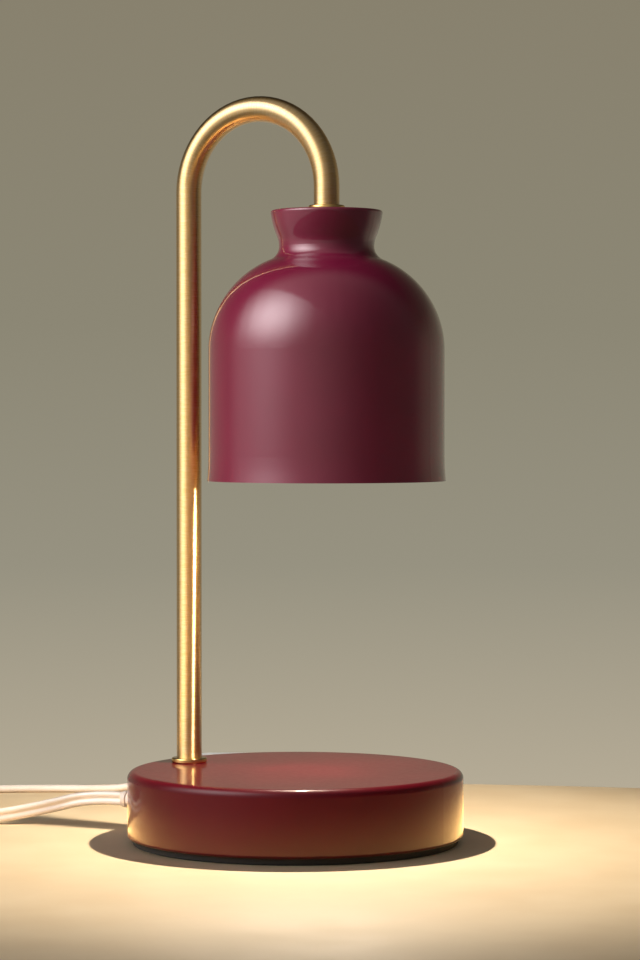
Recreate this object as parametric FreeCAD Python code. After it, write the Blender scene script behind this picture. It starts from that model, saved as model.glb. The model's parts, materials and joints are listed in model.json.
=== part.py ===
import FreeCAD, Part
import math
import os

# Candle warmer lamp: a weighted round base, a bent tube and a bell shade that holds a halogen
# reflector bulb over a jar candle. Millimetres, +Z up. The origin is on the floor at the
# middle of the base. +X runs from the tube's foot towards the shade.

V = FreeCAD.Vector

# ---- Fits, all radial or face to face ----
push_gap = 0.05          # pieces pushed or screwed over one another
turning_gap = 0.06       # a shaft in its bearing
rubbing_gap = 0.3        # moving faces that pass one another
loose_gap = 0.4          # pieces dropped into a housing
screw_end_gap = 0.5      # screw's end to the bottom of its hole
cut_past = 1.0           # how far a cutting shape runs on past a face

# ---- Base ----
base_diameter = 130.0
base_height = 28.0       # floor to the top of the shell
shell_wall = 1.5
shell_top_round = 3.0
shell_bottom_round = 1.2
pad_thickness = 3.0
pad_tuck = 0.5           # how far the pad sits up inside the shell
plate_thickness = 1.5
weight_thickness = 14.0
weight_edge_gap = 3.5    # weight to the inside of the shell
weight_web = 5.0         # metal left over the wiring pocket
weight_edge_round = 1.5
pad_edge_round = 0.8
pocket_width = 44.0
pocket_length = 47.0
pocket_corner = 6.0
boss_diameter = 11.0
boss_root = 3.0          # how far each boss runs up into the weight
boss_circle = 50.0       # radius of the circle of bosses
boss_angles = (52, 128, 232, 308)
plate_screw_diameter = 4.0
plate_screw_depth = 8.0
plate_screw_head = 8.0
plate_screw_head_height = 2.5
plate_screw_head_round = 1.2
screw_slot_width = 1.2
screw_slot_depth = 1.1

# ---- Arm ----
tube_diameter = 10.0
tube_wall = 1.0
overall_height = 289.0   # floor to the top of the arch
arch_span = 63.0         # foot axis to shade axis
foot_inset = 16.0        # foot axis to the edge of the base
arm_drop = 8.9           # end of the arch down to the top of the shade
thread_end = 1.5         # thread that shows past each nut
collar_diameter = 14.0
collar_height = 2.0
collar_round = 0.6
washer_diameter = 17.0
washer_thickness = 1.0
washer_teeth = 12
tooth_gap = 1.8
nut_flats = 14.0
nut_height = 3.5
lead_diameter = 1.8
lead_spacing = 5.2
lead_bend = 2.6          # radius of the leads' turn under the tube

# ---- Shade ----
shade_height = 103.6
shade_wall = 1.2
shade_radius = 45.3
lip_radius = 45.8
lip_height = 9.5         # rim up to where the lip's curve meets the skirt
skirt_height = 50.0      # rim up to the start of the dome
dome_radius = 37.5
waist_radius = 18.3
waist_lower_round = 5.5
waist_upper_round = 9.0
flare_angle = 23.0       # steepest lean of the neck's flare
flare_round = 35.0       # the flare's own gentle curve back
neck_edge_round = 0.9

# ---- Lampholder and bulb, GU10 ----
bracket_width = 12.0
bracket_thickness = 1.2
bracket_span = 27.0      # outside of one leg to outside of the other
bracket_drop = 20.9      # top of the bracket to the top of the lampholder
bracket_tab = 2.7        # each tab past its screw's axis
holder_diameter = 28.0
holder_height = 24.0
holder_floor = 3.0       # ceramic under the pin heads
holder_edge_round = 1.0
holder_screw_spacing = 17.5
holder_screw_diameter = 3.0
holder_screw_depth = 8.0
holder_screw_head = 5.0
holder_screw_head_height = 1.8
holder_screw_head_round = 0.7
contact_thickness = 0.8
contact_width = 3.2
contact_reach = 18.0     # degrees past the freed pin
contact_root = 28.0      # degrees past the locked pin
contact_root_width = 16.0  # degrees
chamber_rise = 2.5       # room over the contacts
pin_spacing = 10.0
pin_diameter = 3.0
pin_head_diameter = 5.0
pin_head_height = 3.2
pin_head_round = 0.8
bayonet_turn = 30.0      # twist that frees the bulb, degrees
bulb_diameter = 50.0
bulb_length = 46.0       # front glass to the cap's end face
bulb_glass_wall = 1.4
bulb_rim_height = 3.0
bulb_neck_height = 30.0  # front rim up to the ceramic cap
bulb_neck_radius = 13.0
bowl_bulge = 3.6         # outwards, from the straight line between rim and neck
bowl_bulge_rise = 2.2    # upwards, the same
cap_diameter = 27.0
cap_shoulder = 2.0
cap_taper_height = 4.0
cap_taper = 1.5
lens_thickness = 1.6
lens_crown = 0.5
capsule_diameter = 9.0
capsule_length = 22.0
capsule_seat = 4.0       # length inside the cap
capsule_flat = 0.4       # radius of the flat on its tip

# ---- Cord, strain relief and crimp caps ----
cord_width = 5.6
core_diameter = 2.6
floor_lift = 0.05
gland_height = 11.5      # floor to the cord's axis where it leaves the base
gland_flange = 12.0
gland_flange_thickness = 2.0
gland_neck = 9.0
gland_tail = 15.0        # outside the base
gland_inner = 3.2        # inside the base
gland_head_step = 0.6    # inner head's radius over the neck's
gland_lead_in = 0.8      # bevel of the flange
gland_root_step = 0.3    # neck's radius over the tail's root
gland_tip_wall = 0.5     # plastic over the cord at the tail's tip
gland_ribs = 4
gland_rib_depth = 0.55
gland_slot_share = 0.28  # of each rib's pitch
gland_ramp_share = 0.12
core_lead_in = 3.0       # straight start of each core behind the strain relief
core_seat = 5.0          # length of each core inside its crimp cap
crimp_diameter = 8.4
crimp_length = 15.0
crimp_skirt = 7.0        # depth of the cap's mouth
crimp_wall = 0.7
crimp_step = 0.8         # skirt's radius over the barrel's
crimp_nose = 1.5
crimp_place = -38.0      # mouth of the caps along X

# ---- In-line dimmer ----
dimmer_length = 58.0
dimmer_width = 27.0
dimmer_height = 16.0
dimmer_corner = 9.0
dimmer_edge_round = 2.4
dimmer_wall = 1.6
dimmer_inside_round = 1.12
dimmer_parting = 7.0     # also the height of the cord's axis
dimmer_place = V(-93.5, 124.8, 0)
dimmer_turn = 30.6       # degrees from +X
wheel_diameter = 25.2
wheel_thickness = 4.0
wheel_offset = 3.5       # wheel axis to the middle of the housing
wheel_flutes = 30
flute_diameter = 1.5
flute_out = 0.25         # flutes' axes outside the wheel's edge
spindle_diameter = 4.0
spindle_foot = 0.5       # spindle's end over the board
bearing_wall = 2.0
pot_diameter = 15.4
pot_height = 3.0
board_length = 31.0
board_width = 20.0
board_thickness = 1.2
dimmer_screw_spacing = 41.0
dimmer_screw_diameter = 2.5
dimmer_screw_seat = 2.2  # floor of the counterbore
dimmer_screw_sink = 0.8  # head below the shell's underside
cross_length = 2.8
cross_width = 0.6
cross_depth = 0.7
dimmer_boss_diameter = 6.0
boot_length = 9.0
boot_diameter = 8.0
boot_tip_diameter = 6.4
boot_flange = 2.2        # inside the housing
boot_flange_step = 0.9   # flange's radius over the neck's
boot_groove_start = 1.5
boot_groove_width = 1.8
boot_groove_depth = 0.5
boot_groove_bevel = 0.4

# ---- Coil, tie and plug ----
coil_place = V(-29.9, 105.5, 0)
coil_inner_radius = 22.4
coil_outer_radius = 36.0
coil_height = 11.6
tie_width = 4.0
tie_thickness = 0.8
tie_angle = 135.0
tie_twist_diameter = 2.2
tie_twist_length = 13.0
tie_twist_start = 3.0    # twist's start to the middle of the coil's section
tie_twist_rise = 1.3
plug_place = V(-59.6, 69.3, 0)
plug_turn = 180.0
plug_height = 14.0
plug_width = 24.0
plug_waist = 17.0
plug_length = 24.0
plug_boot_length = 14.0
plug_start_inset = 1.5   # grip's start narrower than its waist, each side
plug_waist_share = 0.38  # waist's place along the grip
plug_head = 4.0          # straight part of the grip at the blades
plug_corner = 3.0
plug_edge_round = 2.6
plug_boot_root = 10.8
plug_boot_wall = 0.4     # plastic over the cord at the boot's tip
plug_boot_sink = 3.0     # boot's root inside the grip
plug_ribs = 4
plug_rib_step = 0.3
plug_rib_depth = 0.75
plug_ramp_share = 0.62   # of each rib's pitch
plug_fall_share = 0.10
plug_slot_share = 0.26
blade_spacing = 12.7
blade_thickness = 1.5
blade_width = 6.3
blade_length = 17.0
blade_root = 8.0
blade_tip_round = 1.4
blade_hole = 3.0
blade_hole_inset = 5.0   # hole's middle to the blade's tip

# ---- Worked out from the sizes above ----
base_radius = base_diameter / 2
shell_bottom = pad_thickness - pad_tuck
plate_bottom = pad_thickness
plate_top = plate_bottom + plate_thickness
shell_ceiling = base_height - shell_wall
weight_bottom = shell_ceiling - weight_thickness
weight_radius = base_radius - shell_wall - weight_edge_gap
pocket_ceiling = shell_ceiling - weight_web
foot_x = foot_inset - base_radius
tube_radius = tube_diameter / 2
arch_radius = arch_span / 2
arch_centre_z = overall_height - tube_radius - arch_radius
shade_x = foot_x + arch_span
shade_top = arch_centre_z - arm_drop
rim_z = shade_top - shade_height
foot_end = pocket_ceiling - washer_thickness - nut_height - thread_end
neck_washer_z = shade_top - shade_wall - washer_thickness
bracket_top = neck_washer_z
neck_nut_z = bracket_top - bracket_thickness - nut_height
neck_end = neck_nut_z - thread_end
holder_top = bracket_top - bracket_drop
holder_face = holder_top - holder_height
chamber_bottom = holder_face + holder_floor
head_bottom = chamber_bottom + rubbing_gap
head_top = head_bottom + pin_head_height
contact_z = head_top + rubbing_gap
chamber_top = contact_z + contact_thickness + chamber_rise
cap_top = holder_face - rubbing_gap
bulb_face = cap_top - bulb_length
cap_bottom = bulb_face + bulb_neck_height
cord_floor = cord_width / 2 + floor_lift
coil_bottom = tie_thickness + floor_lift
tail_z = coil_bottom + 0.75 * coil_height
crimp_offset = crimp_diameter / 2 + rubbing_gap / 2
board_bottom = dimmer_wall + rubbing_gap
board_top = board_bottom + board_thickness
pot_top = board_top + pot_height
wheel_bottom = pot_top + rubbing_gap
wheel_top = wheel_bottom + wheel_thickness


# ---- Helpers ----
def flat(radius, height):
    """A point of a lathe profile."""
    return V(radius, 0, height)


def polar(radius, degrees, height=0.0):
    angle = math.radians(degrees)
    return V(radius * math.cos(angle), radius * math.sin(angle), height)


def edge(start, end):
    return Part.LineSegment(start, end).toShape()


def profile_arc(centre, radius, start, end):
    """Arc of a lathe profile about centre, between two angles in degrees."""
    points = []
    for degrees in (start, (start + end) / 2, end):
        angle = math.radians(degrees)
        points.append(centre + V(radius * math.cos(angle), 0, radius * math.sin(angle)))
    return Part.Arc(*points).toShape()


def lathe(edges):
    """Solid turned about the Z axis from the closed profile that the edges make."""
    return Part.Face(Part.Wire(edges)).revolve(V(0, 0, 0), V(0, 0, 1), 360)


def lathe_points(points):
    """Solid turned about the Z axis from a profile of straight lines, given as (radius, height)."""
    corners = [flat(*point) for point in points]
    return lathe(Part.makePolygon(corners + corners[:1]).Edges)


def cylinder(diameter, bottom, top, x=0.0, y=0.0):
    return Part.makeCylinder(diameter / 2, top - bottom, V(x, y, bottom))


def ring(outer, inner, bottom, top, x=0.0, y=0.0):
    return cylinder(outer, bottom, top, x, y).cut(cylinder(inner, bottom, top, x, y))


def block(size, centre, bottom):
    """Box of that size, centred in plan on centre and standing on bottom."""
    return Part.makeBox(size[0], size[1], size[2],
                        V(centre[0] - size[0] / 2, centre[1] - size[1] / 2, bottom))


def moved(shape, offset):
    copy = shape.copy()
    copy.translate(offset)
    return copy


def turned(shape, degrees, axis=V(0, 0, 1), centre=V(0, 0, 0)):
    copy = shape.copy()
    copy.rotate(centre, axis, degrees)
    return copy


def placed(shape, place, degrees):
    """Shape from its own frame, turned about Z and set down at place."""
    return moved(turned(shape, degrees), place)


def place_point(point, place, degrees):
    return FreeCAD.Rotation(V(0, 0, 1), degrees).multVec(point) + place


def round_edges(shape, radius, wanted):
    return shape.makeFillet(radius, [e for e in shape.Edges if wanted(e)])


def is_flat_edge(e, height):
    """True for an edge that lies at that height all along."""
    box = e.BoundBox
    return abs(box.ZMin - height) < 1e-4 and abs(box.ZMax - height) < 1e-4


def tangent_path(points, share=0.45, least=None):
    """Wire of straight runs through points, joined by tangent arcs. Each arc takes share of
    its shorter run on both sides, or has the radius least where that is given."""
    edges, radii = [], []
    last = points[0]
    for before, corner, after in zip(points, points[1:], points[2:]):
        back, on = (before - corner), (after - corner)
        short = min(back.Length, on.Length)
        back.normalize()
        on.normalize()
        half_turn = (math.pi - back.getAngle(on)) / 2
        reach = share * short if least is None else least * math.tan(half_turn)
        radius = reach / math.tan(half_turn)
        start, end = corner + back * reach, corner + on * reach
        middle_way = back + on
        middle_way.normalize()
        to_centre = radius / math.cos(half_turn)
        middle = corner + middle_way * (to_centre - radius)
        edges += [edge(last, start), Part.Arc(start, middle, end).toShape()]
        radii.append(radius)
        last = end
    edges.append(edge(last, points[-1]))
    return Part.Wire(edges), radii


def round_tube(path, diameter):
    """Solid rod of that diameter along a wire."""
    first = path.OrderedEdges[0]
    start = first.valueAt(first.FirstParameter)
    heading = first.tangentAt(first.FirstParameter)
    section = Part.Wire(Part.makeCircle(diameter / 2, start, heading))
    return path.makePipeShell([section], True, False)


def cord_tube(name, points):
    path, radii = tangent_path(points)
    tube = round_tube(path, cord_width)
    section = math.pi * cord_width ** 2 / 4
    print(name, "length", round(path.Length, 1), "radii", [round(r, 1) for r in radii],
          "volume share", round(tube.Volume / (section * path.Length), 4))
    return tube


def group(shapes):
    return Part.makeCompound(shapes)


# ---- Base ----
def base_shell():
    """Deep drawn steel cup, open below, with holes for the foot and the strain relief."""
    shell = cylinder(base_diameter, shell_bottom, base_height)
    shell = round_edges(shell, shell_top_round, lambda e: is_flat_edge(e, base_height))
    shell = round_edges(shell, shell_bottom_round, lambda e: is_flat_edge(e, shell_bottom))
    hollow = cylinder(base_diameter - 2 * shell_wall, shell_bottom - cut_past, shell_ceiling)
    hollow = round_edges(hollow, shell_top_round - shell_wall,
                         lambda e: is_flat_edge(e, shell_ceiling))
    shell = shell.cut(hollow)
    shell = shell.cut(foot_hole(shell_ceiling - cut_past, base_height + cut_past))
    gland_hole = Part.makeCylinder(gland_neck / 2 + push_gap, 3 * shell_wall,
                                   V(-base_radius - shell_wall, 0, gland_height), V(1, 0, 0))
    return shell.cut(gland_hole)


def foot_hole(bottom, top):
    return cylinder(tube_diameter + 2 * push_gap, bottom, top, foot_x)


def boss_places():
    return [polar(boss_circle, degrees) for degrees in boss_angles]


def counterweight():
    """Iron disc clamped under the shell's top by the foot nut, with a wiring pocket and
    four bosses that carry the base plate."""
    disc = cylinder(2 * weight_radius, weight_bottom, shell_ceiling)
    disc = round_edges(disc, weight_edge_round, lambda e: is_flat_edge(e, weight_bottom))
    pocket_end = -weight_radius + pocket_length
    pocket_size = (pocket_length + pocket_corner, pocket_width,
                   pocket_ceiling - weight_bottom + cut_past)
    pocket = block(pocket_size, (pocket_end - pocket_size[0] / 2, 0), weight_bottom - cut_past)
    corners = [e for e in pocket.Edges if abs(e.BoundBox.XMin - pocket_end) < 1e-4
               and e.BoundBox.ZLength > 1]
    disc = disc.cut(pocket.makeFillet(pocket_corner, corners))
    disc = disc.cut(foot_hole(pocket_ceiling - cut_past, shell_ceiling + cut_past))
    for spot in boss_places():
        boss = cylinder(boss_diameter, plate_top, weight_bottom + boss_root, spot.x, spot.y)
        disc = disc.fuse(boss)
        disc = disc.cut(cylinder(plate_screw_diameter, plate_top, plate_top + plate_screw_depth,
                                 spot.x, spot.y))
    return disc.removeSplitter()


def base_plate():
    plate = cylinder(base_diameter - 2 * shell_wall - 2 * loose_gap, plate_bottom, plate_top)
    for spot in boss_places():
        plate = plate.cut(cylinder(plate_screw_diameter + 2 * push_gap, plate_bottom, plate_top,
                                   spot.x, spot.y))
    return plate


def base_plate_screws():
    """Pan head screws up through the plate, heads sunk in the pad's holes."""
    screws = []
    for spot in boss_places():
        low = plate_bottom - plate_screw_head_height
        head = cylinder(plate_screw_head, low, plate_bottom, spot.x, spot.y)
        head = round_edges(head, plate_screw_head_round, lambda e: is_flat_edge(e, low))
        slot = block((plate_screw_head, screw_slot_width, screw_slot_depth), (spot.x, spot.y), low)
        shank = cylinder(plate_screw_diameter, plate_bottom,
                         plate_top + plate_screw_depth - screw_end_gap, spot.x, spot.y)
        screws.append(head.cut(slot).fuse(shank).removeSplitter())
    return group(screws)


def base_pad():
    """Foam pad with holes round the screw heads."""
    pad = cylinder(base_diameter - 2 * shell_wall - 2 * loose_gap, 0, pad_thickness)
    pad = round_edges(pad, pad_edge_round, lambda e: is_flat_edge(e, 0))
    for spot in boss_places():
        pad = pad.cut(cylinder(plate_screw_head + 2 * loose_gap, -cut_past,
                               pad_thickness + cut_past, spot.x, spot.y))
    return pad


def cord_gland():
    """Strain relief moulded on the cord: inner head, neck in the shell's wall, flange and a
    tapered ribbed tail. Turned about Z, then laid along -X."""
    head_end = -(shell_wall + rubbing_gap)
    neck, head = gland_neck / 2, gland_neck / 2 + gland_head_step
    flange, tip = gland_flange / 2, cord_width / 2 + gland_tip_wall
    root = neck - gland_root_step
    profile = [(0, head_end - gland_inner), (head, head_end - gland_inner), (head, head_end),
               (neck, head_end), (neck, 0), (flange, 0),
               (flange, gland_flange_thickness - gland_lead_in),
               (flange - gland_lead_in, gland_flange_thickness)]
    pitch = (gland_tail - gland_flange_thickness) / gland_ribs
    for rib in range(gland_ribs):
        low = gland_flange_thickness + rib * pitch
        wide = root + (tip - root) * rib / gland_ribs
        narrow = root + (tip - root) * (rib + 1) / gland_ribs
        groove = wide - gland_rib_depth
        profile += [(groove, low), (groove, low + gland_slot_share * pitch),
                    (wide, low + (gland_slot_share + gland_ramp_share) * pitch),
                    (narrow, low + pitch)]
    profile.append((0, gland_tail))
    gland = turned(lathe_points(profile), -90, V(0, 1, 0))
    return moved(gland, V(-base_radius, 0, gland_height))


def crimp_point(y):
    """Point in the mouth plane of the crimp caps, at their axes' height."""
    return V(crimp_place, y, plate_top + crimp_diameter / 2 + rubbing_gap)


def supply_cores():
    """The cord's two cores, torn apart behind the strain relief and led to the crimp caps."""
    inside_end = -(base_radius - shell_wall - rubbing_gap - gland_inner)
    cores = []
    for side in (-1, 1):
        entry = crimp_point(side * (crimp_offset + core_diameter / 2 + rubbing_gap))
        start = V(inside_end, 0, gland_height + side * (core_diameter / 2 + push_gap))
        path, _ = tangent_path([start, start + V(core_lead_in, 0, 0),
                                V(foot_x - core_seat / 2, entry.y, entry.z),
                                entry + V(core_seat, 0, 0)])
        cores.append(round_tube(path, core_diameter))
    return group(cores)


def crimp_caps():
    """Nylon closed end connectors that lie in the pocket, mouths towards the foot."""
    caps = []
    for side in (-1, 1):
        skirt, mouth = crimp_diameter / 2, crimp_diameter / 2 - crimp_wall
        barrel = skirt - crimp_step
        cap = lathe_points([(0, crimp_skirt), (mouth, crimp_skirt), (mouth, 0), (skirt, 0),
                            (skirt, crimp_skirt - crimp_step), (barrel, crimp_skirt),
                            (barrel, crimp_length - crimp_nose),
                            (barrel - crimp_nose, crimp_length), (0, crimp_length)])
        cap = turned(cap, 90, V(0, 1, 0))
        caps.append(moved(cap, crimp_point(side * crimp_offset)))
    return group(caps)


# ---- Arm ----
def arm_path():
    """Middle line of the tube: leg, half circle arch and short end."""
    centre = V(foot_x + arch_radius, 0, arch_centre_z)
    spring, landing = V(foot_x, 0, arch_centre_z), V(shade_x, 0, arch_centre_z)
    arch = Part.Arc(spring, centre + V(0, 0, arch_radius), landing).toShape()
    return Part.Wire([edge(V(foot_x, 0, foot_end), spring), arch,
                      edge(landing, V(shade_x, 0, neck_end))])


def arm_tube():
    path = arm_path()
    return round_tube(path, tube_diameter).cut(round_tube(path, tube_diameter - 2 * tube_wall))


def arm_leads():
    """Two insulated leads through the tube, from the crimp caps to the lampholder."""
    leads = []
    for side in (-1, 1):
        y = side * lead_spacing / 2
        entry = crimp_point(y)
        corner = V(foot_x, y, entry.z)
        left = V(foot_x, y, arch_centre_z + arch_radius)
        right = V(shade_x, y, arch_centre_z + arch_radius)
        down = V(foot_x, y, foot_end - cut_past)
        turn, _ = tangent_path([entry + V(core_seat, 0, 0), corner, down], least=lead_bend)
        arch = Part.Arc(V(foot_x, y, arch_centre_z), (left + right) / 2,
                        V(shade_x, y, arch_centre_z)).toShape()
        edges = turn.OrderedEdges + [edge(down, V(foot_x, y, arch_centre_z)), arch,
                                     edge(V(shade_x, y, arch_centre_z),
                                          V(shade_x, y, holder_top - core_seat))]
        leads.append(round_tube(Part.Wire(edges), lead_diameter))
    return group(leads)


def collar(x, bottom):
    """Turned ring with softened edges, pushed over the tube."""
    bore = tube_diameter + 2 * push_gap
    piece = ring(collar_diameter, bore, bottom, bottom + collar_height, x)
    outside = [e for e in piece.Edges if e.BoundBox.ZLength < 1e-4
               and abs(e.BoundBox.XLength - collar_diameter) < 1e-3]
    return piece.makeFillet(collar_round, outside)


def toothed_washer(x, bottom):
    """Lock washer with teeth round its edge."""
    washer = ring(washer_diameter, tube_diameter + 2 * push_gap, bottom, bottom + washer_thickness, x)
    for tooth in range(washer_teeth):
        spot = polar(washer_diameter / 2, 360 * tooth / washer_teeth) + V(x, 0, 0)
        washer = washer.cut(cylinder(tooth_gap, bottom - cut_past,
                                     bottom + washer_thickness + cut_past, spot.x, spot.y))
    return washer


def hex_nut(x, bottom):
    """Hexagon nut, its lower corners bevelled at 30 degrees."""
    flats, corner = nut_flats / 2, nut_flats / math.sqrt(3)
    corners = [polar(corner, 60 * k, bottom) + V(x, 0, 0) for k in range(7)]
    nut = Part.Face(Part.makePolygon(corners)).extrude(V(0, 0, nut_height))
    bevel = (corner - flats) * math.tan(math.radians(30))
    cone = lathe_points([(0, 0), (flats, 0), (corner, bevel), (corner, nut_height), (0, nut_height)])
    nut = nut.common(moved(cone, V(x, 0, bottom)))
    return nut.cut(cylinder(tube_diameter + 2 * push_gap, bottom, bottom + nut_height, x))


# ---- Shade ----
def shade_outline(inset):
    """Profile edges from the rim to the top, moved in by inset. Lip, skirt, dome and neck are
    tangent to one another."""
    step = lip_radius - shade_radius
    lip_arc = (lip_height ** 2 + step ** 2) / (2 * step)
    lip_centre = flat(shade_radius + lip_arc, rim_z + lip_height)
    lip_lean = math.degrees(math.asin(lip_height / (lip_arc + inset)))
    body = shade_radius - inset
    dome, low, high = dome_radius - inset, waist_lower_round + inset, waist_upper_round + inset
    flare = flare_round - inset
    skirt_top = rim_z + skirt_height
    dome_centre = flat(shade_radius - dome_radius, skirt_top)
    low_centre_r = waist_radius + waist_lower_round
    rise = math.sqrt((dome_radius + waist_lower_round) ** 2
                     - (low_centre_r - dome_centre.x) ** 2)
    waist_z = skirt_top + rise
    meeting = math.degrees(math.atan2(rise, low_centre_r - dome_centre.x))
    low_centre = flat(low_centre_r, waist_z)
    high_centre = flat(waist_radius + waist_upper_round, waist_z)
    lean = math.radians(flare_angle)
    flare_foot = high_centre + V(-math.cos(lean), 0, math.sin(lean)) * waist_upper_round
    flare_centre = flare_foot - V(math.cos(lean), 0, -math.sin(lean)) * flare_round
    top = shade_top - inset
    end_angle = math.degrees(math.asin((top - flare_centre.z) / flare))
    edges = [profile_arc(lip_centre, lip_arc + inset, 180 + lip_lean, 180),
             edge(flat(body, rim_z + lip_height), flat(body, skirt_top)),
             profile_arc(dome_centre, dome, 0, meeting),
             profile_arc(low_centre, low, 180 + meeting, 180),
             profile_arc(high_centre, high, 180, 180 - flare_angle),
             profile_arc(flare_centre, flare, -flare_angle, end_angle)]
    rim = edges[0].valueAt(edges[0].FirstParameter)
    corner = edges[-1].valueAt(edges[-1].LastParameter)
    return edges, rim, corner


def shade_form(inset):
    edges, rim, corner = shade_outline(inset)
    axis_top, axis_bottom = flat(0, corner.z), flat(0, rim.z)
    return lathe(edges + [edge(corner, axis_top), edge(axis_top, axis_bottom),
                          edge(axis_bottom, rim)])


def shade():
    """Spun shade: skirt with a slight lip, dome, waisted neck and flat top."""
    body = shade_form(0)
    body = round_edges(body, neck_edge_round, lambda e: is_flat_edge(e, shade_top))
    body = body.cut(shade_form(shade_wall))
    body = moved(body, V(shade_x, 0, 0))
    hole = cylinder(tube_diameter + 2 * push_gap, shade_top - 2 * shade_wall,
                    shade_top + cut_past, shade_x)
    return body.cut(hole)


# ---- Lampholder ----
def lampholder_bracket():
    """Strap bent into a frame: pierced top, two legs and two tabs on the lampholder."""
    half, thick = bracket_span / 2, bracket_thickness
    tab = holder_screw_spacing / 2 - bracket_tab
    outline = [(-tab, holder_top), (-half, holder_top), (-half, bracket_top), (half, bracket_top),
               (half, holder_top), (tab, holder_top), (tab, holder_top + thick),
               (half - thick, holder_top + thick), (half - thick, bracket_top - thick),
               (thick - half, bracket_top - thick), (thick - half, holder_top + thick),
               (-tab, holder_top + thick)]
    points = [V(shade_x - bracket_width / 2, y, z) for y, z in outline]
    strap = Part.Face(Part.makePolygon(points + points[:1])).extrude(V(bracket_width, 0, 0))
    bends = [e for e in strap.Edges
             if e.BoundBox.XLength > 1 and abs(abs(e.BoundBox.YMin) - half) < 1e-4]
    strap = strap.makeFillet(thick, bends)
    strap = strap.cut(cylinder(tube_diameter + 2 * push_gap, bracket_top - 2 * thick,
                               bracket_top + cut_past, shade_x))
    for side in (-1, 1):
        strap = strap.cut(cylinder(holder_screw_diameter + 2 * push_gap, holder_top - cut_past,
                                   holder_top + 2 * thick, shade_x,
                                   side * holder_screw_spacing / 2))
    return strap


def bracket_screws():
    screws = []
    for side in (-1, 1):
        y = side * holder_screw_spacing / 2
        seat = holder_top + bracket_thickness
        top = seat + holder_screw_head_height
        head = cylinder(holder_screw_head, seat, top, shade_x, y)
        head = round_edges(head, holder_screw_head_round, lambda e: is_flat_edge(e, top))
        shank = cylinder(holder_screw_diameter, holder_top - holder_screw_depth + screw_end_gap,
                         seat, shade_x, y)
        screws.append(head.fuse(shank).removeSplitter())
    return group(screws)


def pin_path_sector(inner, outer, bottom, top, start, end):
    """Sector of a ring about the bulb's axis, in its own frame."""
    face = Part.Face(Part.makePolygon([flat(inner, bottom), flat(outer, bottom),
                                       flat(outer, top), flat(inner, top), flat(inner, bottom)]))
    return turned(face.revolve(V(0, 0, 0), V(0, 0, 1), end - start), start)


def lampholder():
    """Ceramic body with a ring chamber, two keyhole slots, lead holes and screw holes."""
    body = cylinder(holder_diameter, holder_face, holder_top)
    body = round_edges(body, holder_edge_round, lambda e: e.BoundBox.ZLength < 1e-4)
    pin_circle = pin_spacing / 2
    head_gap = pin_head_diameter / 2 + rubbing_gap
    body = body.cut(ring(2 * (pin_circle + head_gap), 2 * (pin_circle - head_gap),
                         chamber_bottom, chamber_top))
    slot = pin_diameter / 2 + rubbing_gap
    low, high = holder_face - cut_past, chamber_bottom + cut_past
    for start in (0, 180):
        body = body.cut(pin_path_sector(pin_circle - slot, pin_circle + slot, low, high,
                                        start - bayonet_turn, start))
        rest, free = polar(pin_circle, start), polar(pin_circle, start - bayonet_turn)
        body = body.cut(cylinder(2 * slot, low, high, rest.x, rest.y))
        body = body.cut(cylinder(2 * head_gap, low, high, free.x, free.y))
    for side in (-1, 1):
        y = side * holder_screw_spacing / 2
        body = body.cut(cylinder(holder_screw_diameter, holder_top - holder_screw_depth,
                                 holder_top + cut_past, 0, y))
        body = body.cut(cylinder(lead_diameter + 2 * loose_gap, chamber_top - cut_past,
                                 holder_top + cut_past, 0, side * lead_spacing / 2))
    return moved(body, V(shade_x, 0, 0))


def lampholder_contacts():
    """Spring strips over the pin heads, hung from the chamber's ceiling."""
    contacts = []
    inner, outer = (pin_spacing - contact_width) / 2, (pin_spacing + contact_width) / 2
    top = contact_z + contact_thickness
    for start in (0, 180):
        end = start + contact_root
        strip = pin_path_sector(inner, outer, contact_z, top, start - bayonet_turn - contact_reach, end)
        post = pin_path_sector(inner, outer, top, chamber_top, end - contact_root_width, end)
        contacts.append(moved(strip.fuse(post).removeSplitter(), V(shade_x, 0, 0)))
    return group(contacts)


# ---- Bulb ----
def reflector_form(inset):
    """Pressed glass bowl from the front rim to the cap, moved in by inset."""
    rim, neck = bulb_diameter / 2 - inset, bulb_neck_radius - inset
    rim_top = bulb_face + bulb_rim_height
    bow = flat((rim + neck) / 2 + bowl_bulge, (rim_top + cap_bottom) / 2 + bowl_bulge_rise)
    curve = Part.Arc(flat(rim, rim_top), bow, flat(neck, cap_bottom)).toShape()
    return [edge(flat(rim, bulb_face), flat(rim, rim_top)), curve]


def bulb_reflector():
    bodies = []
    for inset in (0, bulb_glass_wall):
        edges = reflector_form(inset)
        neck = bulb_neck_radius - inset
        rim = bulb_diameter / 2 - inset
        edges += [edge(flat(neck, cap_bottom), flat(0, cap_bottom)),
                  edge(flat(0, cap_bottom), flat(0, bulb_face)),
                  edge(flat(0, bulb_face), flat(rim, bulb_face))]
        bodies.append(lathe(edges))
    return moved(bodies[0].cut(bodies[1]), V(shade_x, 0, 0))


def bulb_lens():
    """Front glass, slightly crowned, set into the reflector's rim."""
    radius = bulb_diameter / 2 - bulb_glass_wall - push_gap
    sphere = (radius ** 2 + lens_crown ** 2) / (2 * lens_crown)
    top = bulb_face + lens_crown + lens_thickness
    bow = profile_arc(flat(0, bulb_face + sphere), sphere, -90,
                      math.degrees(math.asin(radius / sphere)) - 90)
    lens = lathe([bow, edge(flat(radius, bulb_face + lens_crown), flat(radius, top)),
                  edge(flat(radius, top), flat(0, top)), edge(flat(0, top), flat(0, bulb_face))])
    return moved(lens, V(shade_x, 0, 0))


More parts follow.
